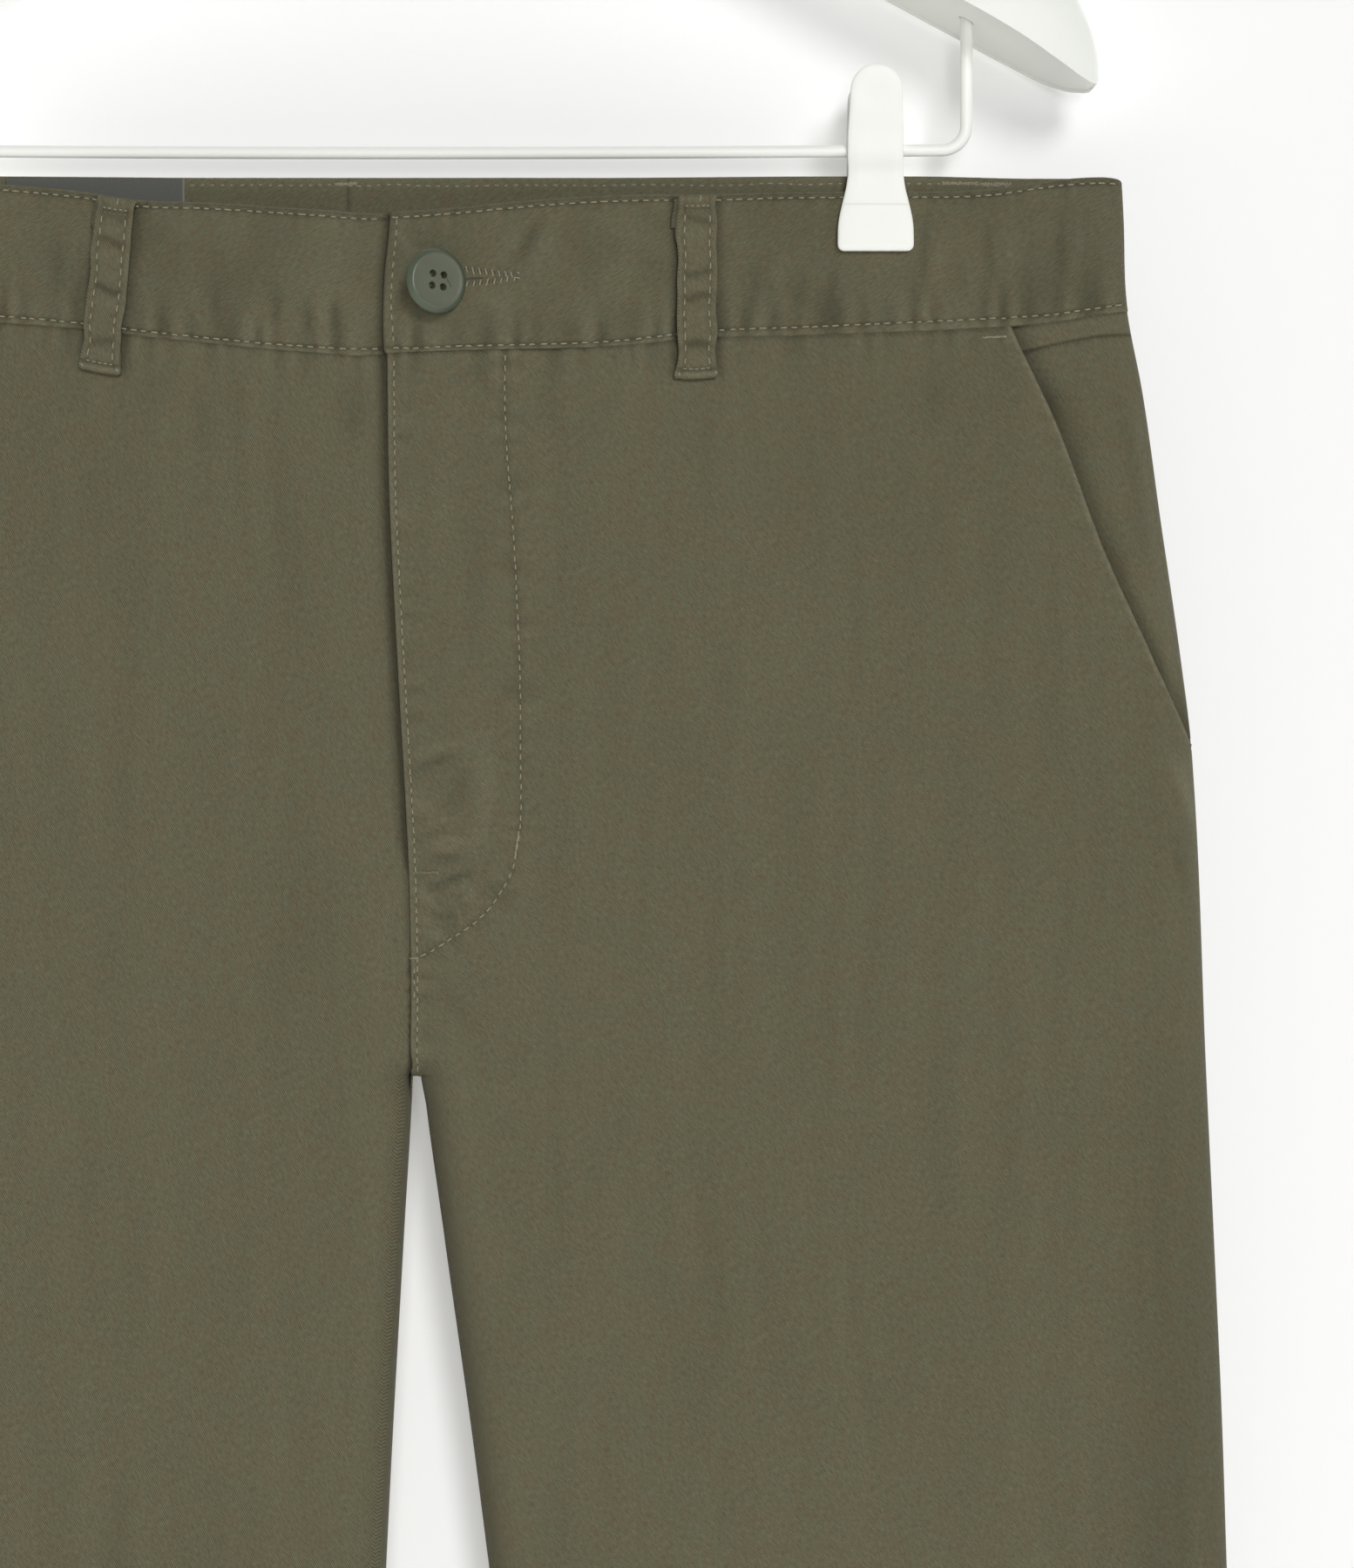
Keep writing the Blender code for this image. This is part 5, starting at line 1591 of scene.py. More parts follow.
    def strip(
        self, outward: Array, side: Side, turn: float, free: float | None
    ) -> tuple[Array, Array, Array, Array]:
        """Points, weave places and wear of one side of a half.

        Args:
            outward: distances from the middle, which fix the columns.
            side: front or back.
            turn: +1 for the wearer's left half, otherwise -1.
            free: x of the free front end, or None where this side has none.

        Returns:
            Points, places along and up the band, and wear.
        """
        share, added, drop = self.section()
        x = turn * outward[None, :] + 0 * share
        squash = np.zeros(x.shape)
        if free is not None:
            from_end = np.abs(x - free)
            squash = 1 - np.sqrt(1 - (1 - np.clip(from_end / self.end_round, 0, 1)) ** 2)
        top, seam = self.form.top_level(x, side), self.form.seam_level(x, side)
        for _ in range(3):
            seam = self.form.seam_level(x * self.form.half_width(seam) / self.form.half_width(0), side)
        corner = self.corner_round * squash
        head, foot = top - self.cloth / 2 - corner, seam + self.lip + corner
        level = head + (foot - head) * share - added
        at = x * self.form.half_width(level) / self.form.half_width(0)
        if free is not None and turn > 0:
            at = at + (self.end_line(level) - self.left_end) * (1 - smoothstep(from_end / 30))
        outer = drop < self.cloth / 2
        height = self.lift(at, turn) if side is Side.FRONT else np.full(at.shape, self.proud)
        held = smoothstep((self.form.half_width(level) - np.abs(at)) / 6)
        height = height - 0.75 * self.proud * (1 - held)
        raised = self.relief(at, level, side) * outer * (1 - squash) * (0.2 + 0.8 * held)
        if side is Side.BACK:
            raised = raised - self.inside_relief(at, level) * (drop > 0.95 * self.cloth)
        middle = self.cloth / 2
        sunk = middle + (drop - middle) * (1 - 0.97 * squash)
        points = self.form.points(at, level, side, height + raised - sunk)
        # Painted light and shade: the relief painted pale on ridges and dark in hollows, the lips paler as
        # painted highlight and paling of the wash, the stitch lines darker, a painted highlight on the
        # rounded free end, the inner face paler above its stitch line, painted shadows beside the loops and,
        # on the right half, a painted shadow beside the left half's end.
        lips = (level < self.stitch_level(at, side)) | (level > top - self.top_stitch)
        line = bell(level - self.stitch_level(at, side), 0.5)
        line = line + bell(level - top + self.top_stitch, 0.5)
        wear_and_shading = (np.clip(raised / 0.31, -0.7, 0.65) + 0.25 * lips - 0.35 * line + 0.5 * squash - 0.08) * outer
        wear_and_shading = wear_and_shading + (0.35 - 0.35 * (level < self.inside_line(at))) * ~outer
        wear_and_shading = wear_and_shading + loop_shadows(self.form, at, level, side) * outer
        if side is Side.FRONT and turn < 0:
            wear_and_shading = wear_and_shading - 1.4 * bell(np.maximum(self.end_line(level) - at, 0), 1.7) * outer
        return points, at, level, wear_and_shading

    def build_half(self, name: str, turn: float, end: float) -> None:
        """One half as a closed loft of its section, from its front end round the side to the centre back."""
        form = self.form
        jaw = form.half_width(0) - form.waist_side_round
        end_run = self.end_round * (1 - np.cos(np.radians((0, 20, 38, 55, 70, 82))))
        start = turn * end
        front = stations(start + self.end_round, jaw, ((-40, 1.1), (60, 1.1), (200, 1.25)))
        rounding = form.half_width(0) - form.waist_side_round * (
            1 - np.sin(np.radians(np.linspace(8, 90, 11)))
        )
        back_end = turn * float(self.seat(np.array(form.back_top))) + 0.02
        back = stations(jaw, back_end, ((-30, 1.9), (200, 1.6)))
        sides = (
            self.strip(np.concatenate([start + end_run, front, rounding]), Side.FRONT, turn, end),
            self.strip(np.concatenate([rounding[::-1][1:], back]), Side.BACK, turn, None),
        )
        points = np.concatenate([s[0] for s in sides], axis=1)
        wear_and_shading = np.concatenate([s[3] for s in sides], axis=1)
        across = turn * cloth_length(points, 1, 0.0) + end
        down = sides[0][2][:1, :1] - cloth_length(points, 0, 0.0)
        ring = points.transpose(1, 0, 2)
        faces = loft_faces(*ring.shape[:2], flip=turn > 0)
        uv = weave_uv(across, down, -31.0).transpose(1, 0, 2)
        piece = add_piece(
            name + "_cloth", ring, faces, self.finishes.twill, [name], uv, wear_and_shading.T
        )

    def build(self) -> None:
        """Makes both halves."""
        self.build_half("waistband_left", 1.0, self.left_end)
        self.build_half("waistband_right", -1.0, self.right_end)


# ---------------------------------------------------------------- belt loops
@dataclass
class BeltLoops(Maker):
    """Five strips, each tacked at the band's top edge and under its seam with its ends turned under."""

    band: Waistband
    turned: float = 6.1
    turned_top: float = 8.7
    askew: float = 1.5
    thickness: float = 1.2
    gap: float = 0.3
    standing: float = 2.9
    sag: float = 0.5
    lip: float = 2.1
    stitch_from_edge: float = 2.1
    needle: Needle = Needle(radius=0.24, length=2.2, pitch=3.3)
    tack: Needle = Needle(radius=0.24, length=1.2, pitch=1.45)

    def surface(self, loop: Loop) -> Callable[[Array, Array, Array], Array]:
        """The function that gives points for a place across and down a loop, and a height over the cloth
        under it."""
        def points(across: Array, along: Array, over: Array) -> Array:
            """Points of the loop, over the band and past its seam over the panel."""
            x = loop.top_x + (loop.bottom_x - loop.top_x) * along / loop.length + across
            level = self.form.top_level(x, loop.side) - loop.below_top - along
            seam = self.form.seam_level(x, loop.side)
            base = self.band.proud * smoothstep((level - seam + 0.6) / 1.2)
            return self.form.points(x, level, loop.side, base + over)

        return points

    def outline(self, across: Array, along: Array, loop: Loop) -> tuple[Array, Array]:
        """The strip's uneven outline: drawn in at its tacks, flared at the lower end, with wavering edges."""
        from_end = loop.length - along
        drawn = 0.40 * bell(along - 2.4, 2.2) + 0.35 * bell(from_end - 7.5, 2.6)
        flare = 0.50 * smoothstep((4.2 - from_end) / 3.2) + 0.12 * np.sin(along / 2.3 + 2.3 * loop.phase)
        waver = 0.14 * np.sin(along / 3.4 + loop.phase) + 0.07 * np.sin(along / 1.6 + 1.7 * loop.phase)
        half = loop.width / 2
        bulge = 0.45 * (1 - np.clip(across / half, -1, 1) ** 2) * smoothstep((6 - from_end) / 5)
        return across * (1 + (flare - drawn) / half) + waver, along + bulge

    def outer_height(self, across: Array, along: Array, loop: Loop) -> Array:
        """Height of the outer face: it sags a little between its ends, sinks along its two stitch lines and
        over its lower lip, and folds softly across between the lines."""
        share = np.clip(along / loop.length, 0, 1)
        sag = self.sag * np.sin(np.pi * share) ** 2
        line = loop.width / 2 - self.stitch_from_edge
        dents = 0.22 * bell(np.abs(across) - line, 0.5)
        dents = dents + 0.34 * bell(loop.length - self.lip - along, 0.6)
        dents = dents + 0.20 * bell(3.3 - along, 1.1)
        folds = 0.0
        for place, depth in loop.folds:
            at = along - place - 0.8 * np.sin(across / 2.2 + place)
            folds = folds + depth * bell(at, 1.3)
        between = 0.25 + 0.75 * smoothstep((line - np.abs(across)) / 0.9)
        return self.standing - sag - dents - folds * between

    def path(self, length: float) -> tuple[Array, Array]:
        """The strip's middle line, from the free end under its top, over the top fold, down and round the
        lower one: distance down the loop and height over the cloth."""
        half = self.thickness / 2
        low, high = self.gap + half, self.standing - half
        radius = (high - low) / 2
        arc = np.linspace(0, np.pi, 8)[1:-1]
        top, foot = np.linspace(self.turned_top, radius, 7), np.linspace(self.turned, radius, 5)
        steps = ((0, 0.45), (5, 0.5), (8, 0.75), (41, 0.75), (45, 0.4), (60, 0.4))
        run = stations(radius, length - radius, steps)
        along = [top, radius - radius * np.sin(arc), run, length - radius + radius * np.sin(arc)]
        bend = radius * (1 - np.cos(arc))
        over = [low + 0 * top, low + bend, high + 0 * run, high - bend]
        return np.concatenate([*along, length - foot[::-1]]), np.concatenate([*over, low + 0 * foot])

    def build_loop(self, loop: Loop) -> None:
        """One loop: a flat rounded section carried along the strip's path, and its sewing."""
        half, rim = self.thickness / 2, loop.width / 2
        path_along, path_over = self.path(loop.length)
        tangent = np.gradient(np.stack([path_along, path_over], -1), axis=0)
        tangent /= np.linalg.norm(tangent, axis=1, keepdims=True)
        flat = np.linspace(-1, 1, 17) * (rim - half)
        cap = np.radians((60, 30, 0, -30, -60))
        end = rim - half + half * np.cos(cap)
        across = np.concatenate([flat, end, -flat, -end])
        out = np.concatenate([0 * flat + half, half * np.sin(cap), 0 * flat - half, -half * np.sin(cap)])
        along = path_along[:, None] - tangent[:, 1:] * out[None, :]
        over = path_over[:, None] + tangent[:, :1] * out[None, :]
        across = across[None, :] + 0 * along
        formed = self.outer_height(across, along, loop) - self.standing
        share = smoothstep((over / self.standing - 0.3) / 0.6)
        on_top = np.clip(tangent[:, :1], 0, 1) * share
        under = (1 - share) * smoothstep(along / 1.5) * smoothstep((14 - along) / 3)
        shaped, lowered = self.outline(across, along, loop)
        points = self.surface(loop)(shaped - self.askew * under, lowered, over + formed * on_top)
        faces = loft_faces(*along.shape, flip=loop.side is Side.BACK)
        # Painted light and shade: painted highlights on the rounded edges and over the lower lip, the folds
        # painted pale on top and dark between, and a painted shadow on the turned-under strip.
        edge = bell(rim - np.abs(across), 0.7)
        ends = bell(loop.length - 0.7 - along, 0.6) + 0.5 * bell(along, 1)
        sag = self.sag * np.sin(np.pi * np.clip(along / loop.length, 0, 1)) ** 2
        wear_and_shading = 0.35 * edge + 0.9 * ends + np.clip((formed + sag) / 0.42 + 0.15, -1.0, 0.5) - 0.9 * (1 - share)
        down = -cloth_length(points[..., 1:], 0, 0.0)
        piece = add_piece(
            loop.name + "_strip", points, faces, self.finishes.twill, [loop.name],
            weave_uv(across + loop.top_x, down, 54.0 + 1.5 * loop.phase), wear_and_shading,
        )
        sewing = self.sew(loop)

    def sew(self, loop: Loop) -> Object:
        """Two running lines, two rows of tacking at the top and one over the lip, and the thread ends on the
        lip."""
        points = self.surface(loop)

        def face(across: Array, up: Array) -> Array:
            """The loop's outer face for a place across it and minus the distance down it."""
            return points(*self.outline(across, -up, loop), self.outer_height(across, -up, loop))

        facing = 1.0 if loop.side is Side.FRONT else -1.0
        line = loop.width / 2 - self.stitch_from_edge
        lines = [np.array([(across, -4.6), (across, -loop.length + 2.6)]) for across in (-line, line)]
        made = [self.needle.run(face, path, facing, 10 + number) for number, path in enumerate(lines)]
        # The dark beds under the tack rows are painted shade; the second row's thread is drawn darker.
        bed = replace(self.tack.shade_pit(), radius=0.42)
        for down, reach, dimmed in ((2.7, 4.1, 0.0), (4.0, 3.7, -0.55), (loop.length - 2.3, 3.9, 0.0)):
            row = np.array([(-reach, -down), (0.0, -down - 0.12), (reach, -down)])
            made.append(bed.bars(face, row[:1], row[-1:], facing, -0.7))
            stitches = self.tack.run(face, row, facing, int(40 + down))
            made.append((*stitches[:2], np.minimum(stitches[2], dimmed)))
        end, low = loop.width / 2 - 1.0, -loop.length + 1.1
        corners = np.array([(-end, low), (end, low + 0.2)])
        made.append(replace(self.tack, radius=0.36).bars(face, corners, corners + (0.3, -0.9), facing))
        stub = np.array([(0.6, -1.6)])
        made.append(self.tack.bars(face, stub, stub + (0.1, 1.9), facing))
        points, faces, wear_and_shading = joined(made)
        return add_piece(loop.name + "_sewing", points, faces, self.finishes.thread, wear_and_shading=wear_and_shading)

    def build(self) -> None:
        """Makes the five loops."""
        for loop in LOOPS:
            self.build_loop(loop)


# ---------------------------------------------------------------- sewing on the panels and the band
@dataclass
class Sewing(Maker):
    """All the running lines, bartacks and the buttonhole, as joined meshes."""

    panels: Panels
    band: Waistband
    coarse: Needle = Needle()
    fine: Needle = Needle(radius=0.245, length=1.85, pitch=2.8)
    tack: Needle = Needle(radius=0.21)
    blanket: Needle = Needle(radius=0.27)
    hem_line: float = 22.5

    def line(self, xs: Array, level: Line) -> Array:
        """A path over the given x places at the level that a function gives."""
        return np.stack([xs, level(xs)], -1)

    def band_lines(self) -> list[Seam]:
        """The band's top and lower lines at the front and the back, and the line beside its front end."""
        band, form = self.band, self.form
        edge = form.half_width(0) - 1.0
        made = []
        for side, surface, turn, start in (
            (Side.FRONT, band.front(1.0), 1.0, band.left_end + 1.7),
            (Side.FRONT, band.front(-1.0), -1.0, -band.left_end + 1.5),
            (Side.BACK, band.back, 1.0, -18), (Side.BACK, band.back, -1.0, 18),
        ):
            xs = turn * np.arange(start, edge, 1.0)
            facing = 1.0 if side is Side.FRONT else -1.0
            seed = int(20 + turn + 2 * side.value)
            top = self.line(xs, lambda x, s=side: form.top_level(x, s) - band.top_stitch)
            low = self.line(xs * 1.008, lambda x, s=side: band.stitch_level(x, s))
            made.append(self.coarse.run(surface, top, facing, seed))
            made.append(self.coarse.run(surface, low, facing, seed + 5))
        end = smooth_path(
            ((-2.7, -13.6), (-2.6, -17.2), (-3.2, -22.9), (-4.2, -39.4), (-3.8, -45.1), (-3.5, -49.9))
        )
        made.append(self.fine.run(band.front(1.0), end, 1.0, 31))
        return made

    def inside_lines(self) -> list[Seam]:
        """What shows on the back waistband's inner face: its top line and the tacks of the belt loops."""
        band = self.band
        xs = np.arange(-202, 202, 1.0)
        xs = xs[(xs < -116) | (xs >= -64)]
        made = []
        for run in (xs[xs < -100], xs[xs > -100]):
            made.append(self.fine.run(band.back_inside, self.line(run, band.inside_line), 1.0, 41))
        for start, end in ((-21.5, -15.3), (152.7, 163.0), (163.5, 172.8)):
            made.append(self.tack.zigzag(
                band.back_inside, (start, -1.7), (end, -1.5), 1.3, 0.6
            ))
        return made

    def fly_lines(self) -> list[Seam]:
        """The fly's edge line, its curved line and the tacks of the left front."""
        left = self.panels.pieces["front_left"].surface
        levels = np.arange(-53.5, self.form.crotch + 0.6, -1.0)
        edge = np.stack([self.panels.fly(levels) + 1.95, levels], -1)
        curved = smooth_path(FLY_STITCH)
        made = [self.fine.run(left, edge, 1.0, 51), self.fine.run(left, curved, 1.0, 52)]
        # The dark beds under the tacks are painted shade, and the two lower tacks' threads are drawn darker
        # by the same value as painted shade.
        bed = replace(self.tack.shade_pit(), radius=0.55)
        for start, end, width, pitch, wear_and_shading in (
            ((31.9, -187.6), (30.7, -195.4), 0.5, 0.42, 0.0),
            ((1.6, -199.4), (9.1, -199.2), 0.9, 0.62, -0.45),
            ((0.9, -223.7), (3.4, -223.5), 0.6, 0.5, -0.2),
            ((164.0, -46.8), (170.7, -46.5), 0.6, 0.55, 0.0),
        ):
            made.append(bed.bars(left, np.array([start]), np.array([end]), wear_and_shading=1.6 * wear_and_shading))
            points, faces, dark = self.tack.zigzag(left, start, end, width, pitch)
            made.append((points, faces, np.minimum(dark, wear_and_shading)))
        double = np.stack([self.panels.fly(levels) + 1.0, levels], -1)[(levels < -225) & (levels > -236)]
        made.append(self.fine.run(left, double, 1.0, 53))
        right = self.panels.pieces["front_right"].surface
        made.append(self.tack.zigzag(right, (-170.7, -45.4), (-164, -45.6), 1.0, 0.55))
        return made

    def seat_lines(self) -> list[Seam]:
        """The topstitching beside the seat seam."""
        levels = np.arange(-41, self.form.crotch + 6, -1.0)
        left = np.stack([self.panels.seat(levels) + 2.0, levels], -1)
        return [self.coarse.run(self.panels.pieces["back_left"].surface, left, -1.0, 61)]

    def hem_lines(self) -> list[Seam]:
        """One line round each leg's hem."""
        level = self.form.hem + self.hem_line
        made = []
        for number, panel in enumerate(self.panels.pieces.values()):
            low, high = (float(edge(np.array(level))) for edge in (panel.low, panel.high))
            xs = np.arange(low + 1.2, high - 1.2, 1.0)
            facing = 1.0 if panel.side is Side.FRONT else -1.0
            made.append(
                self.coarse.run(panel.surface, self.line(xs, lambda x: 0 * x + level), facing, 70 + number)
            )
        return made

    def buttonhole(self) -> list[Seam]:
        """Two bars of leaning stitches along a dark slit, which meet at the end away from the band's edge;
        the slit and the beds under the bars are dark sheets of painted shade.
        """
        face = self.band.front(1.0)
        slit = replace(self.blanket.shade_pit(), radius=0.55)
        bed = replace(self.blanket.shade_pit(), radius=1.0)
        upper = (13.0, -28.0), (31.4, -30.2)
        lower = (13.0, -33.2), (31.2, -30.9)
        return [
            bed.bars(face, *(np.array([place]) for place in upper), wear_and_shading=-0.9),
            bed.bars(face, *(np.array([place]) for place in lower), wear_and_shading=-0.9),
            slit.bars(face, np.array([(14, -31.4)]), np.array([(24.5, -30.7)]), wear_and_shading=-0.95),
            self.blanket.overcast(face, *upper, 1.9, 0.92, -0.8, 3),
            self.blanket.overcast(face, *lower, 1.8, 0.92, 0.8, 4),
            self.blanket.overcast(face, (31.6, -28.9), (31.8, -32.0), 1.2, 0.7, 0.5),
        ]

    def build(self) -> None:
        """Makes one mesh for each region."""
        for name, parts in (
            ("sewing_waistband", self.band_lines() + self.inside_lines()), ("sewing_fly", self.fly_lines()),
            ("sewing_seat", self.seat_lines()), ("sewing_hems", self.hem_lines()),
            ("sewing_buttonhole", self.buttonhole()),
        ):
            points, faces, wear_and_shading = joined(parts)
            add_piece(name, points, faces, self.finishes.thread, wear_and_shading=wear_and_shading)


# ---------------------------------------------------------------- fastenings and label
@dataclass
class WaistButton(Maker):
    """The turned button with its raised rim, four holes and thread shank."""

    band: Waistband
    x: float = 9.0
    level: float = -32.4
    turn: float = math.radians(29)
    hole_radius: float = 1.05
    hole_offset: float = 1.7
    sides: int = 72
    shank_radius: float = 1.6
    hole_twist: float = math.radians(-4)
    # Turned profile: radius, height over the middle plane, from the face to the back
    profile: Table = (
        (0, 1.10), (2.5, 1.09), (4.8, 1.09), (6.3, 1.12), (6.9, 1.20), (7.25, 1.30), (7.5, 1.33),
        (7.75, 1.27),
        (8.0, 1.12), (8.3, 0.88), (8.6, 0.62), (8.9, 0.34), (9.1, 0.08), (9.2, -0.2), (9.18, -0.5),
        (9.0, -0.85),
        (8.6, -1.12), (8.0, -1.3), (6.0, -1.45), (0, -1.5),
    )

    def place(self, points: Array) -> Array:
        """Carries points from the turned button's own axes to its place on the band.

        Its face looks along its own +Z, which is laid over to -Y and then turned about Z.
        """
        cos, sin = math.cos(self.turn), math.sin(self.turn)
        x, y, z = points[:, 0], -points[:, 2], points[:, 1]
        near = self.form.points(
            np.array(self.x), np.array(self.level), Side.FRONT, self.band.proud + self.band.lifted
        )
        centre = np.array([self.x, float(near[1]) - self.reach() - 0.3, float(near[2])])
        return np.stack([x * cos - y * sin, x * sin + y * cos, z], -1) + centre

    def corners(self, spread: float = 1.0) -> Array:
        """The four holes' places on the face, turned a little."""
        square = np.array([(a, b) for a in (-1, 1) for b in (-1, 1)]) * self.hole_offset * spread
        cos, sin = math.cos(self.hole_twist), math.sin(self.hole_twist)
        return square @ np.array([(cos, sin), (-sin, cos)])

    def reach(self) -> float:
        """How far the turned button reaches back from its centre."""
        solid = (
            (0, 0.6), (6.1, 0.6), (6.8, 1.1), (7.5, 1.5), (8.4, 1.3), (9.1, 0.5), (9.2, -0.2), (8.5, -1.2)
        )
        return max(r * math.sin(self.turn) - h * math.cos(self.turn) for r, h in solid)

    def build(self) -> None:
        """Turns the profile, drills the holes and winds the shank."""
        rim = np.array(self.profile)
        angle = np.linspace(0, 2 * np.pi, self.sides, endpoint=False)
        ring = rim[1:-1]
        points = np.stack([
            ring[:, :1] * np.cos(angle), ring[:, :1] * np.sin(angle), ring[:, 1:] + 0 * angle
        ], -1).reshape(-1, 3)
        faces = loft_faces(len(ring), self.sides)
        radius = np.repeat(ring[:, 0], self.sides)
        # The rim from 7.5 mm out takes the darker rim colour: painted shade of its slope, with a greener
        # tint.
        wear_and_shading = smoothstep((radius - 7.5) / 0.6)
        button = add_piece(
            "waist_button_turned", self.place(points), faces, self.finishes.resin, ["waist_button"],
            wear_and_shading=wear_and_shading,
        )
        cutters = []
        for corner in self.corners():
            foot, head = self.place(np.array([(*corner, z) for z in (-4.0, 4.0)]))
            cutters.append(round_cutter("button_hole", foot, head, self.hole_radius))
        carve(button, cutters)
        button.data.set_sharp_from_angle(angle=math.radians(50))
        self.shank()

    def shank(self) -> None:
        """Thread that joins the button to the band: a wound stem, and strands in the holes."""
        foot = self.form.points(np.array(self.x), np.array(self.level), Side.FRONT, self.band.proud)
        head = self.place(np.array([(0.0, 0.0, -1.6)]))[0]
        wound = []
        turns = np.linspace(0, 2 * np.pi * 6, 72)
        share = np.linspace(0, 1, 72)[:, None]
        circle = np.stack([np.cos(turns), 0 * turns, np.sin(turns)], -1) * self.shank_radius
        path = foot + (head - foot) * share + circle
        wound.append(Tube(0.28, 6).along(path))
        for corner in self.corners(0.9):
            ends = self.place(np.array([(*corner, z) for z in (-1.6, -1.2, -0.7)]))
            wound.append(Tube(0.55, 8).along(ends))
        tail = np.array(
            [(2.4, 0.9, 0.6), (2.7, 0.5, 1.25), (3.3, -0.3, 1.35), (3.8, -1.2, 1.3), (4.0, -1.8, 1.22)]
        )
        wound.append(Tube(0.11, 6).along(self.place(tail)))
        points, faces, first = [], [], 0
        for p, f in wound:
            points.append(p)
            faces += [[i + first for i in face] for face in f]
            first += len(p)
        points = np.concatenate(points)
        # The shank's thread is drawn darker all over: painted shade in the holes and under the button.
        add_piece(
            "button_shank", points, faces, self.finishes.thread, wear_and_shading=np.full(len(points), -0.7)
        )


@dataclass
class InnerLabel(Maker):
    """The plain woven label on the inner face of the back waistband."""

    band: Waistband
    left: float = -116.0
    right: float = -65.0
    top: float = -0.2
    bottom: float = -33.0
    cloth: float = 0.35

    def build(self) -> None:
        """A thin sheet, bowed a little between its sewn ends."""
        x = np.linspace(self.left, self.right, 90)[None, :]
        level = np.linspace(self.top, self.bottom, 40)[:, None]
        x, level = np.broadcast_arrays(x, level)
        bow = 0.18 * np.sin((x - self.left) / (self.right - self.left) * np.pi) + 0.3 * crumple(x, level, 2.2)
        lift = self.band.proud - self.band.cloth - 0.25 - bow
        points = self.form.points(x, level, Side.BACK, lift)
        edge = bell(self.right - x, 0.35)
        piece = add_piece(
            "inner_label_woven", points, grid_faces(*x.shape), self.finishes.label,
            ["inner_label"], np.stack([x, level], -1), edge,
        )
        thicken(piece, self.cloth)
        piece.modifiers["cloth"].offset = 0


@dataclass
class FlyZip(Maker):
    """The zip behind the fly: two tapes and a row of interlocked teeth, closed."""

    panels: Panels
    start: float = 10.3
    width: float = 21.0
    teeth_at: float = 10.5
    top: float = -45.8
    bottom: float = -205.0
    pitch: float = 1.9
    tooth: Triple = (2.6, 1.15, 0.8)

    def build(self) -> None:
        """A tape with woven ribs and small brass bars across its middle."""
        panel = self.panels.pieces["front_right"]
        across = np.linspace(0, self.width, 24)[None, :]
        nominal = np.linspace(self.top, self.bottom, 90)[:, None]
        level = nominal + 0 * across
        for _ in range(panel.passes):
            x = self.panels.fly(level) + self.start + across
            level = panel.level(x, nominal)
        lift = -self.panels.fly_sink - 0.3
        points = self.form.points(x, level, Side.FRONT, lift)
        # The tape is drawn darker all over: painted shade under the fly.
        tape = add_piece(
            "zip_tape", points, grid_faces(*x.shape), self.finishes.twill, ["fly_zip"],
            weave_uv(x, level, 0.0), np.full(x.shape, -0.5),
        )
        thicken(tape, 0.7)
        levels = np.arange(self.top - 2.5, self.bottom + 6, -self.pitch)
        side = np.where(np.arange(len(levels)) % 2 == 0, -1.0, 1.0)
        middle = self.panels.fly(levels) + self.start + self.teeth_at + side * 0.55
        centre = self.form.points(middle, levels, Side.FRONT, lift + 0.35)
        corner = np.array([(a, b, c) for a in (-1, 1) for b in (-1, 1) for c in (-1, 1)]) / 2 * self.tooth
        box = np.array([(0, 1, 3, 2), (4, 6, 7, 5), (0, 4, 5, 1), (2, 3, 7, 6), (0, 2, 6, 4), (1, 5, 7, 3)])
        teeth = (centre[:, None] + corner[None]).reshape(-1, 3)
        faces = (box[None] + 8 * np.arange(len(levels))[:, None, None]).reshape(-1, 4)
        add_piece("zip_teeth", teeth, faces, self.finishes.brass, smooth=False)


# ---------------------------------------------------------------- hanger
# Arm: x, width front to back, height, how far the underside rises towards the tip
ARM_SECTIONS = (
    (0, 15, 26, 0), (12, 15, 25, 0), (40, 20, 23, 0), (85, 32, 24, 0), (125, 42, 27, 0), (155, 47, 30, 0),
    (174, 44, 31, 0), (186, 34, 28, 0), (193, 20, 21, 1.2), (196.5, 10, 12, 3.2), (197.5, 5, 6, 5),
)
# Clip plate: level, half width, how much further out than the jaw's its inner face is
CLIP_PLATE = (
    (30.2, 2.4, 5.6), (29.2, 4.3, 5.4), (27.2, 6.5, 5.0), (23.5, 7.4, 4.0), (16.4, 7.7, 1.7),
    (10.5, 8.0, -0.5),
    (7.5, 8.0, -1.05), (4.5, 8.0, -0.9), (0.8, 7.9, 0), (-4.0, 8.5, 0), (-8.5, 9.6, 0), (-14.0, 10.7, 0),
    (-19.0, 10.9, 0), (-21.0, 10.6, 0), (-22.0, 9.1, 0),
)


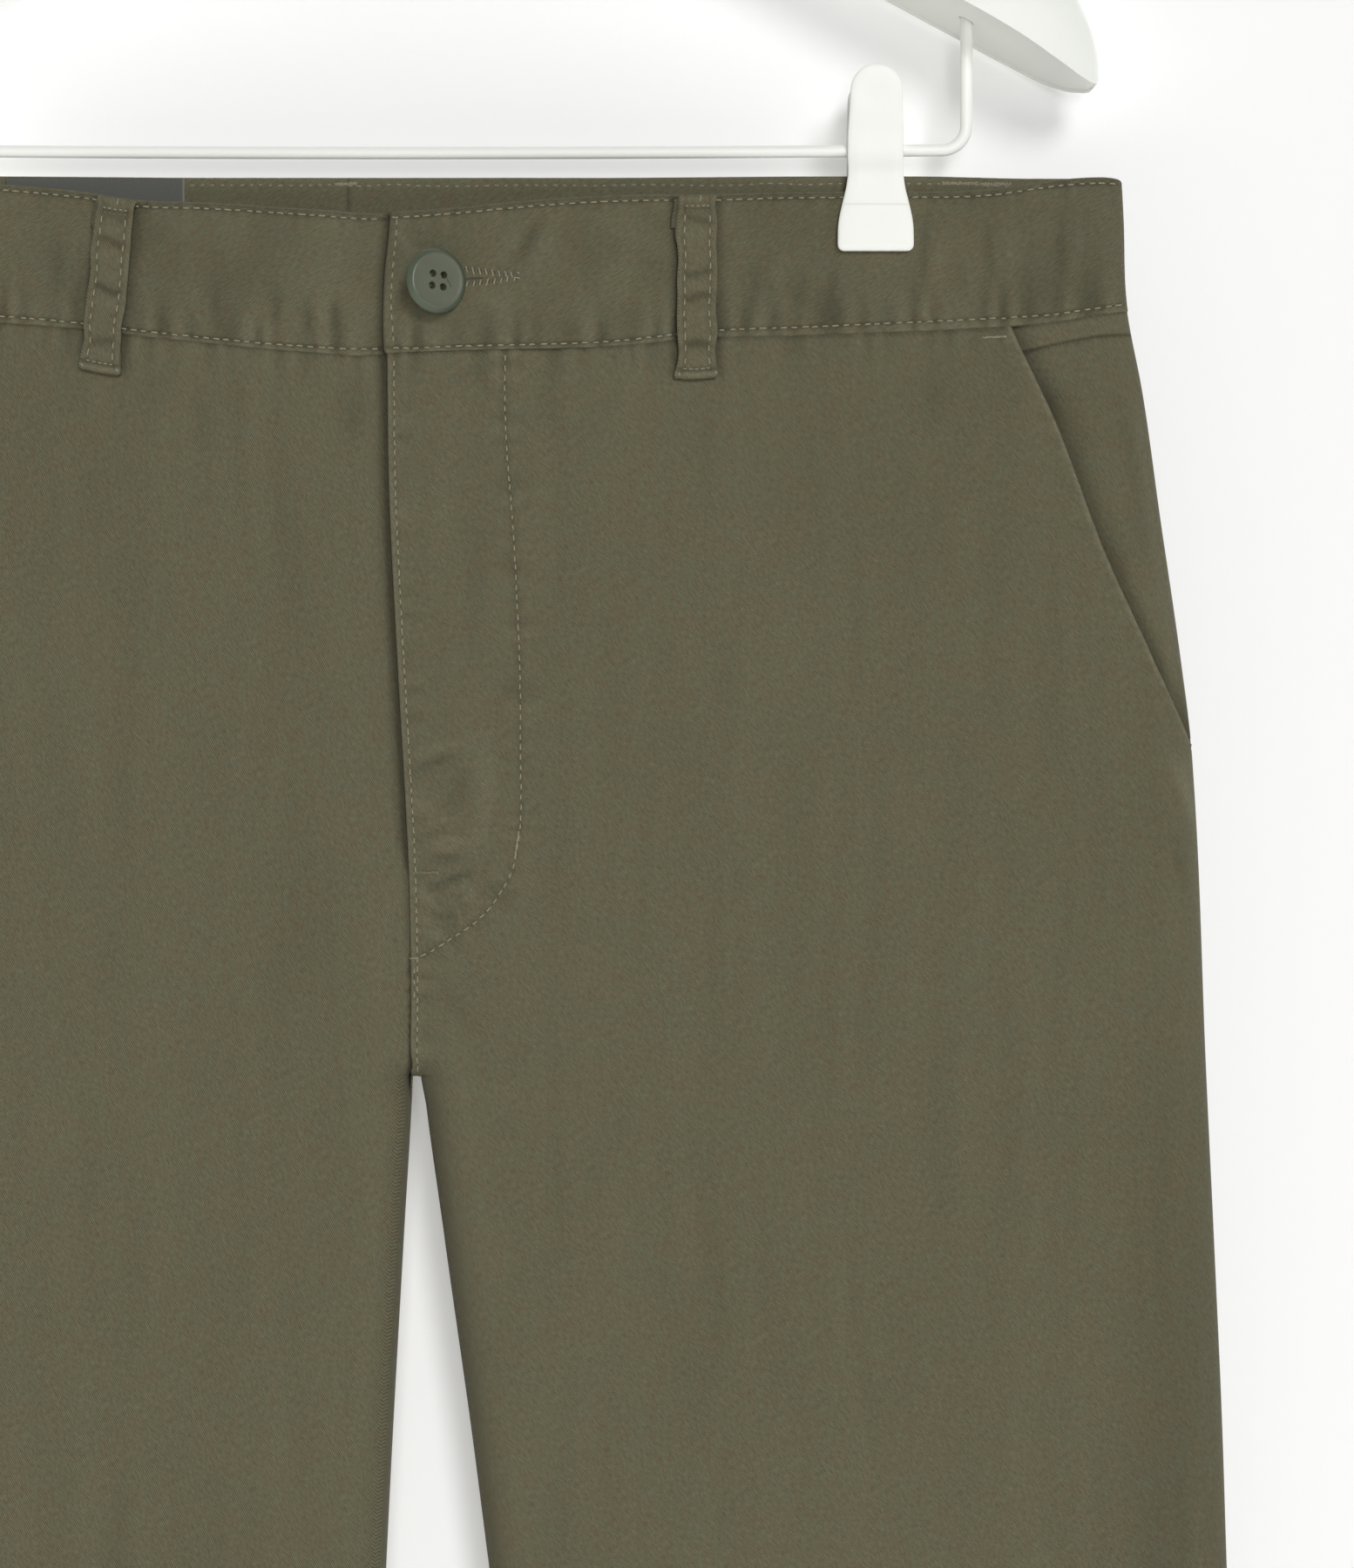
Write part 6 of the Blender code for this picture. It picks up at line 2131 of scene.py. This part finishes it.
@dataclass
class Hanger(Maker):
    """White plastic arms, their wire hook, the clip rod and two clips."""

    rod_radius: float = 1.75
    rod_level: float = 7.7
    rod_sag: float = 0.9
    rod_bend: float = 7.0
    rod_end: float = 159.75
    rod_socket: float = 6.0
    hook_radius: float = 22.0
    hook_wire: float = 2.0
    shank_socket: float = 8.0
    clearance: float = 0.3
    underside_top: float = -96.0
    slope: float = 0.2888
    curve: float = 0.000817
    squareness: float = 3.2
    rim: float = 1.3
    recess: float = 0.8
    jaw_face: float = 3.1
    plate: float = 2.8
    jaw_corner: float = 1.9
    jaw_step: float = 0.3

    def underside(self, x: Array) -> Array:
        """Height of the arms' flat underside: a slope that steepens outwards."""
        return self.underside_top - self.slope * np.abs(x) - self.curve * x * x

    def build_arms(self) -> None:
        """Both arms as one loft: a rounded loaf over a shallow tray in the underside, carried from tip to
        tip."""
        near_tip = (191.5, 193, 194.4, 195.6, 196.5, 197.1, 197.5)
        half = np.concatenate([stations(0, 190, ((0, 3.0), (150, 3.0), (190, 1.6))), near_tip])
        x = np.concatenate([-half[::-1][:-1], half])[:, None]
        width, height, rise = (Curve(ARM_SECTIONS, k)(np.abs(x)) for k in (1, 2, 3))
        angle = np.radians(np.linspace(0, 180, 33))[None, :]
        over = np.sign(np.cos(angle)) * np.abs(np.cos(angle)) ** (2 / self.squareness) / 2 * width
        above = np.abs(np.sin(angle)) ** (2 / self.squareness) * height
        rim = np.minimum(self.rim, 0.18 * width)
        inside = width / 2 - rim
        deep = np.minimum(self.recess, 0.12 * height)
        foot = inside - 0.25 * rim
        tray_across = np.concatenate([-inside, -foot, -inside / 2, inside / 2, foot, inside], axis=1)
        tray_above = np.concatenate([0 * deep, deep, deep, deep, deep, 0 * deep], axis=1)
        across = np.concatenate([over, tray_across], axis=1)
        base = self.underside(x) + rise
        points = np.stack([x + 0 * across, across, base + np.concatenate([above, tray_above], axis=1)], -1)
        faces = loft_faces(*across.shape)
        arms = add_piece(
            "hanger_arms_moulded", points, faces, self.finishes.plastic, ["hanger_arms"]
        )
        arms.data.set_sharp_from_angle(angle=math.radians(42))
        cutters = []
        for sign in (-1, 1):
            at = sign * self.rod_end
            top = float(self.underside(np.array(at))) + self.rod_socket
            ends = np.array([(at, 0, top - 16), (at, 0, top)])
            cutters.append(round_cutter("rod_socket", *ends, self.rod_radius + self.clearance))
        carve(arms, cutters)
        arms.data.set_sharp_from_angle(angle=math.radians(42))

    def build_hook(self) -> None:
        """A question mark of wire: the shank up from the arms, then a wide bow over the rail, with a round
        tip."""
        middle = -(self.hook_radius - self.hook_wire)
        turn = np.linspace(math.radians(-62), math.radians(200), 90)
        bow = np.stack(
            [self.hook_radius * np.cos(turn), 0 * turn, middle + self.hook_radius * np.sin(turn)], -1
        )
        neck = float(self.underside(np.array(0.0))) + 26
        foot = np.array([(0, 0, neck - self.shank_socket), (0, 0, neck - 2), (0, 0, neck + 4)])
        bend = np.array([(0.4, 0, bow[0, 2] - 9), (2.6, 0, bow[0, 2] - 3.6)])
        rough = np.concatenate([foot, bend, bow])
        path = np.stack([smooth_run(rough, k) for k in range(3)], -1)
        tip_run = self.hook_wire * np.sin(np.radians((0, 25, 45, 62, 76, 86)))
        way = (path[-1] - path[-2]) / np.linalg.norm(path[-1] - path[-2])
        path = np.concatenate([path, path[-1] + way * tip_run[1:, None]])
        radii = np.full(len(path), self.hook_wire)
        radii[-5:] = np.sqrt(np.maximum(self.hook_wire ** 2 - tip_run[1:] ** 2, 0))
        points, faces = Tube(self.hook_wire, 20).along(path, radii)
        add_piece("hook_wire", points, faces, self.finishes.wire, ["hanger_hook"])
        collar = np.array([(0, 0, neck - 1.2), (0, 0, neck - 0.2), (0, 0, neck + 0.8)])
        points, faces = Tube(3.4, 28).along(collar, np.array((3.6, 3.5, 2.9)))
        add_piece("hook_collar", points, faces, self.finishes.plastic)

    def build_rod(self) -> None:
        """The clip rod: a sagging run with both ends bent up into the arms."""
        straight = self.rod_end - self.rod_bend
        x = np.linspace(0, straight, 80)
        level = self.rod_level - self.rod_sag * (1 - (x / self.rod_end) ** 2) - self.form.drop
        run = np.stack([x, 0 * x, level], -1)
        turn = np.radians(np.linspace(0, 90, 12))[1:]
        bend = np.stack([
            straight + self.rod_bend * np.sin(turn), 0 * turn, level[-1] + self.rod_bend * (1 - np.cos(turn))
        ], -1)
        top = float(self.underside(np.array(self.rod_end))) + self.rod_socket - self.clearance
        rise = np.linspace(bend[-1, 2], top, 10)[1:]
        up = np.stack([0 * rise + self.rod_end, 0 * rise, rise], -1)
        half = np.concatenate([run, bend, up])
        path = np.concatenate([half[::-1][:-1] * (-1, 1, 1), half])
        points, faces = Tube(self.rod_radius, 20).along(path)
        add_piece("clip_rod_wire", points, faces, self.finishes.wire, ["clip_rod"])

    def build_clip(self, clip: str, sign: float, side: Side) -> None:
        """One plate of a clip: a rounded flat section carried from the tab's round top down to the jaw's
        corners."""
        top, step, foot = 30.4, -8.75, -22.0
        level = np.concatenate([
            top - 7.4 * (1 - np.cos(np.radians(np.linspace(2, 88, 16)))), np.linspace(22.4, -8.3, 30),
            np.array((-8.6, -8.9, -9.2)), np.linspace(-10, -19.9, 12),
            foot + self.jaw_corner * (1 - np.sin(np.radians(np.linspace(15, 86, 7)))),
        ])[:, None]
        half = Curve(CLIP_PLATE[3:13], 1)(level)
        crown = np.clip((level - (top - 7.4)) / 7.4, 0, 0.9999)
        corner = np.clip((foot + self.jaw_corner - level) / self.jaw_corner, 0, 0.9999)
        half = half * np.sqrt(1 - crown ** 2) - self.jaw_corner * (1 - np.sqrt(1 - corner ** 2))
        further = Curve(CLIP_PLATE, 2)(level)
        jaw = smoothstep((step - level) / 0.5 + 0.5)
        ends = np.minimum(np.sqrt(1 - crown ** 8), np.sqrt(1 - corner ** 2))
        thick = (self.plate - self.jaw_step * (1 - jaw)) * (0.35 + 0.65 * ends)
        angle = np.linspace(0, 2 * np.pi, 48, endpoint=False)[None, :]
        power = 2 / 5.0
        across = np.sign(np.cos(angle)) * np.abs(np.cos(angle)) ** power
        out = np.sign(np.sin(angle)) * np.abs(np.sin(angle)) ** power
        face = np.clip(out, 0, 1)
        x_local = half * across
        dimple = 0.45 * bell((level - 21.5) ** 2 + (x_local + 1.5) ** 2, 3.4 ** 2)
        channel = smoothstep((9 - level) / 3) * smoothstep((level + 9) / 1.5)
        ribs = 0.16 * channel * np.cos(x_local / 0.9) * smoothstep((6 - np.abs(x_local)) / 1.5)
        middle = self.jaw_face + further + self.plate / 2 - self.jaw_step / 2 * (1 - jaw)
        y = side.value * (middle + thick / 2 * out - face * (dimple - ribs))
        x = sign * self.form.clip_x + x_local
        points = np.stack([x, y, level - self.form.drop + 0 * x], -1)
        faces = loft_faces(*x.shape, flip=side is Side.BACK)
        name = f"clip_{clip}_{'front' if side is Side.FRONT else 'back'}"
        add_piece(name + "_plate", points, faces, self.finishes.plastic, [name])

    def build(self) -> None:
        """Makes the whole hanger."""
        self.build_arms()
        self.build_hook()
        self.build_rod()
        for clip, sign in (("left", 1.0), ("right", -1.0)):
            for side in Side:
                self.build_clip(clip, sign, side)


def smooth_run(points: Array, column: int) -> Array:
    """One coordinate of a smooth curve through points, read every 1.2 mm of the way."""
    far = np.concatenate([[0], np.cumsum(np.linalg.norm(np.diff(points, axis=0), axis=1))])
    at = np.linspace(0, far[-1], int(far[-1] / 1.2) + 1)
    return Curve(tuple(zip(far.tolist(), points[:, column].tolist())))(at)


# ---------------------------------------------------------------- studio
@dataclass
class Studio:
    """Pale wall and floor, soft daylight and the photograph's view, in metres."""

    form: GarmentForm
    eye: Triple = (0.07675, -1.0, -0.38125)
    lens: float = 80.0
    sensor: float = 36.0
    wall_y: float = 26 * MM
    floor_z: float = -1.75
    wall_size: float = 8.0
    white: Triple = (0.8, 0.8, 0.8)
    wall_glow: float = 0.162
    floor_glow: float = 0.34
    floor_glow_blue: float = 0.94
    ambient: float = 0.08
    key: float = 1.36
    key_size: float = math.radians(16)
    front_fill: float = 0.89
    back_fill: float = 1.8
    seen_behind: float = 0.80

    def surface(self, name: str, corners: Table, glow: float, see_through_back: bool) -> None:
        """A plain pale sheet.

        Args:
            name: the sheet's name.
            corners: its four corners, in metres.
            glow: how much light it gives off by itself.
            see_through_back: it can be seen through from behind, as the wall is.
        """
        mesh = bpy.data.meshes.new(name)
        mesh.from_pydata(corners, [], [(0, 1, 2, 3)])
        made = bpy.data.objects.new(name, mesh)
        bpy.context.scene.collection.objects.link(made)
        shader = Shader.start(
            name + " paint", self.white, 0.95, Specular_IOR_Level=0.0, Emission_Strength=glow
        )
        blue = 1.0 if see_through_back else self.floor_glow_blue
        tree = shader.material.node_tree
        tree.nodes["Principled BSDF"].inputs["Emission Color"].default_value = (1, 1, blue, 1)
        if see_through_back:
            clear, blend = shader.node("ShaderNodeBsdfTransparent"), shader.node("ShaderNodeMixShader")
            shader.link(shader.node("ShaderNodeNewGeometry").outputs["Backfacing"], blend.inputs[0])
            shader.link(tree.nodes["Principled BSDF"].outputs[0], blend.inputs[1])
            shader.link(clear.outputs[0], blend.inputs[2])
            shader.link(blend.outputs[0], tree.nodes["Material Output"].inputs[0])
            made.visible_shadow = False
        mesh.materials.append(shader.material)

    def sun(self, name: str, strength: float, size: float, turn: tuple[float, float]) -> None:
        """A soft sun that shines down by the first angle, from the second angle right of the front."""
        light = bpy.data.lights.new(name, "SUN")
        light.energy = strength
        light.angle = size
        made = bpy.data.objects.new(name, light)
        made.rotation_euler = (math.radians(90 - turn[0]), 0, math.radians(turn[1]))
        bpy.context.scene.collection.objects.link(made)

    def build(self) -> None:
        """Wall, floor, world, suns and camera."""
        w, y, z = self.wall_size / 2, self.wall_y, self.floor_z
        top = z + self.wall_size
        self.surface("backdrop", ((-w, y, z), (w, y, z), (w, y, top), (-w, y, top)), self.wall_glow, True)
        self.surface("floor", ((-w, -w, z), (w, -w, z), (w, w, z), (-w, w, z)), self.floor_glow, False)
        world = bpy.data.worlds.new("daylight")
        world.use_nodes = True
        nodes, links = world.node_tree.nodes, world.node_tree.links
        nodes["Background"].inputs["Color"].default_value = (1, 1, 1, 1)
        light_path, strength = nodes.new("ShaderNodeLightPath"), nodes.new("ShaderNodeMath")
        strength.operation = "MULTIPLY_ADD"
        links.new(light_path.outputs["Is Camera Ray"], strength.inputs[0])
        strength.inputs[1].default_value = self.seen_behind - self.ambient
        strength.inputs[2].default_value = self.ambient
        links.new(strength.outputs[0], nodes["Background"].inputs["Strength"])
        bpy.context.scene.world = world
        self.sun("key", self.key, self.key_size, (17, 15))
        self.sun("front fill", self.front_fill, math.radians(14), (-2, 2))
        self.sun("back fill", self.back_fill, math.radians(40), (20, 160))
        bpy.context.scene.view_settings.view_transform = "Standard"
        camera = bpy.data.cameras.new("camera")
        camera.sensor_fit = "AUTO"
        camera.sensor_width = self.sensor
        camera.lens = self.lens
        made = bpy.data.objects.new("camera", camera)
        made.location = self.eye
        made.rotation_euler = (math.radians(90), 0, 0)
        bpy.context.scene.collection.objects.link(made)
        bpy.context.scene.camera = made


def main() -> None:
    """Builds the studio and every sub-assembly in order."""
    logging.basicConfig(level=logging.INFO, format="%(name)s: %(message)s")
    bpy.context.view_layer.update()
    form = GarmentForm()
    Studio(form).build()
    finishes = Finishes.make()
    panels = Panels(form, finishes)
    panels.build()
    band = Waistband(form, finishes, panels.seat)
    band.build()
    BeltLoops(form, finishes, band).build()
    Sewing(form, finishes, panels, band).build()
    WaistButton(form, finishes, band).build()
    InnerLabel(form, finishes, band).build()
    FlyZip(form, finishes, panels).build()
    Hanger(form, finishes).build()


if __name__ == "__main__":
    main()
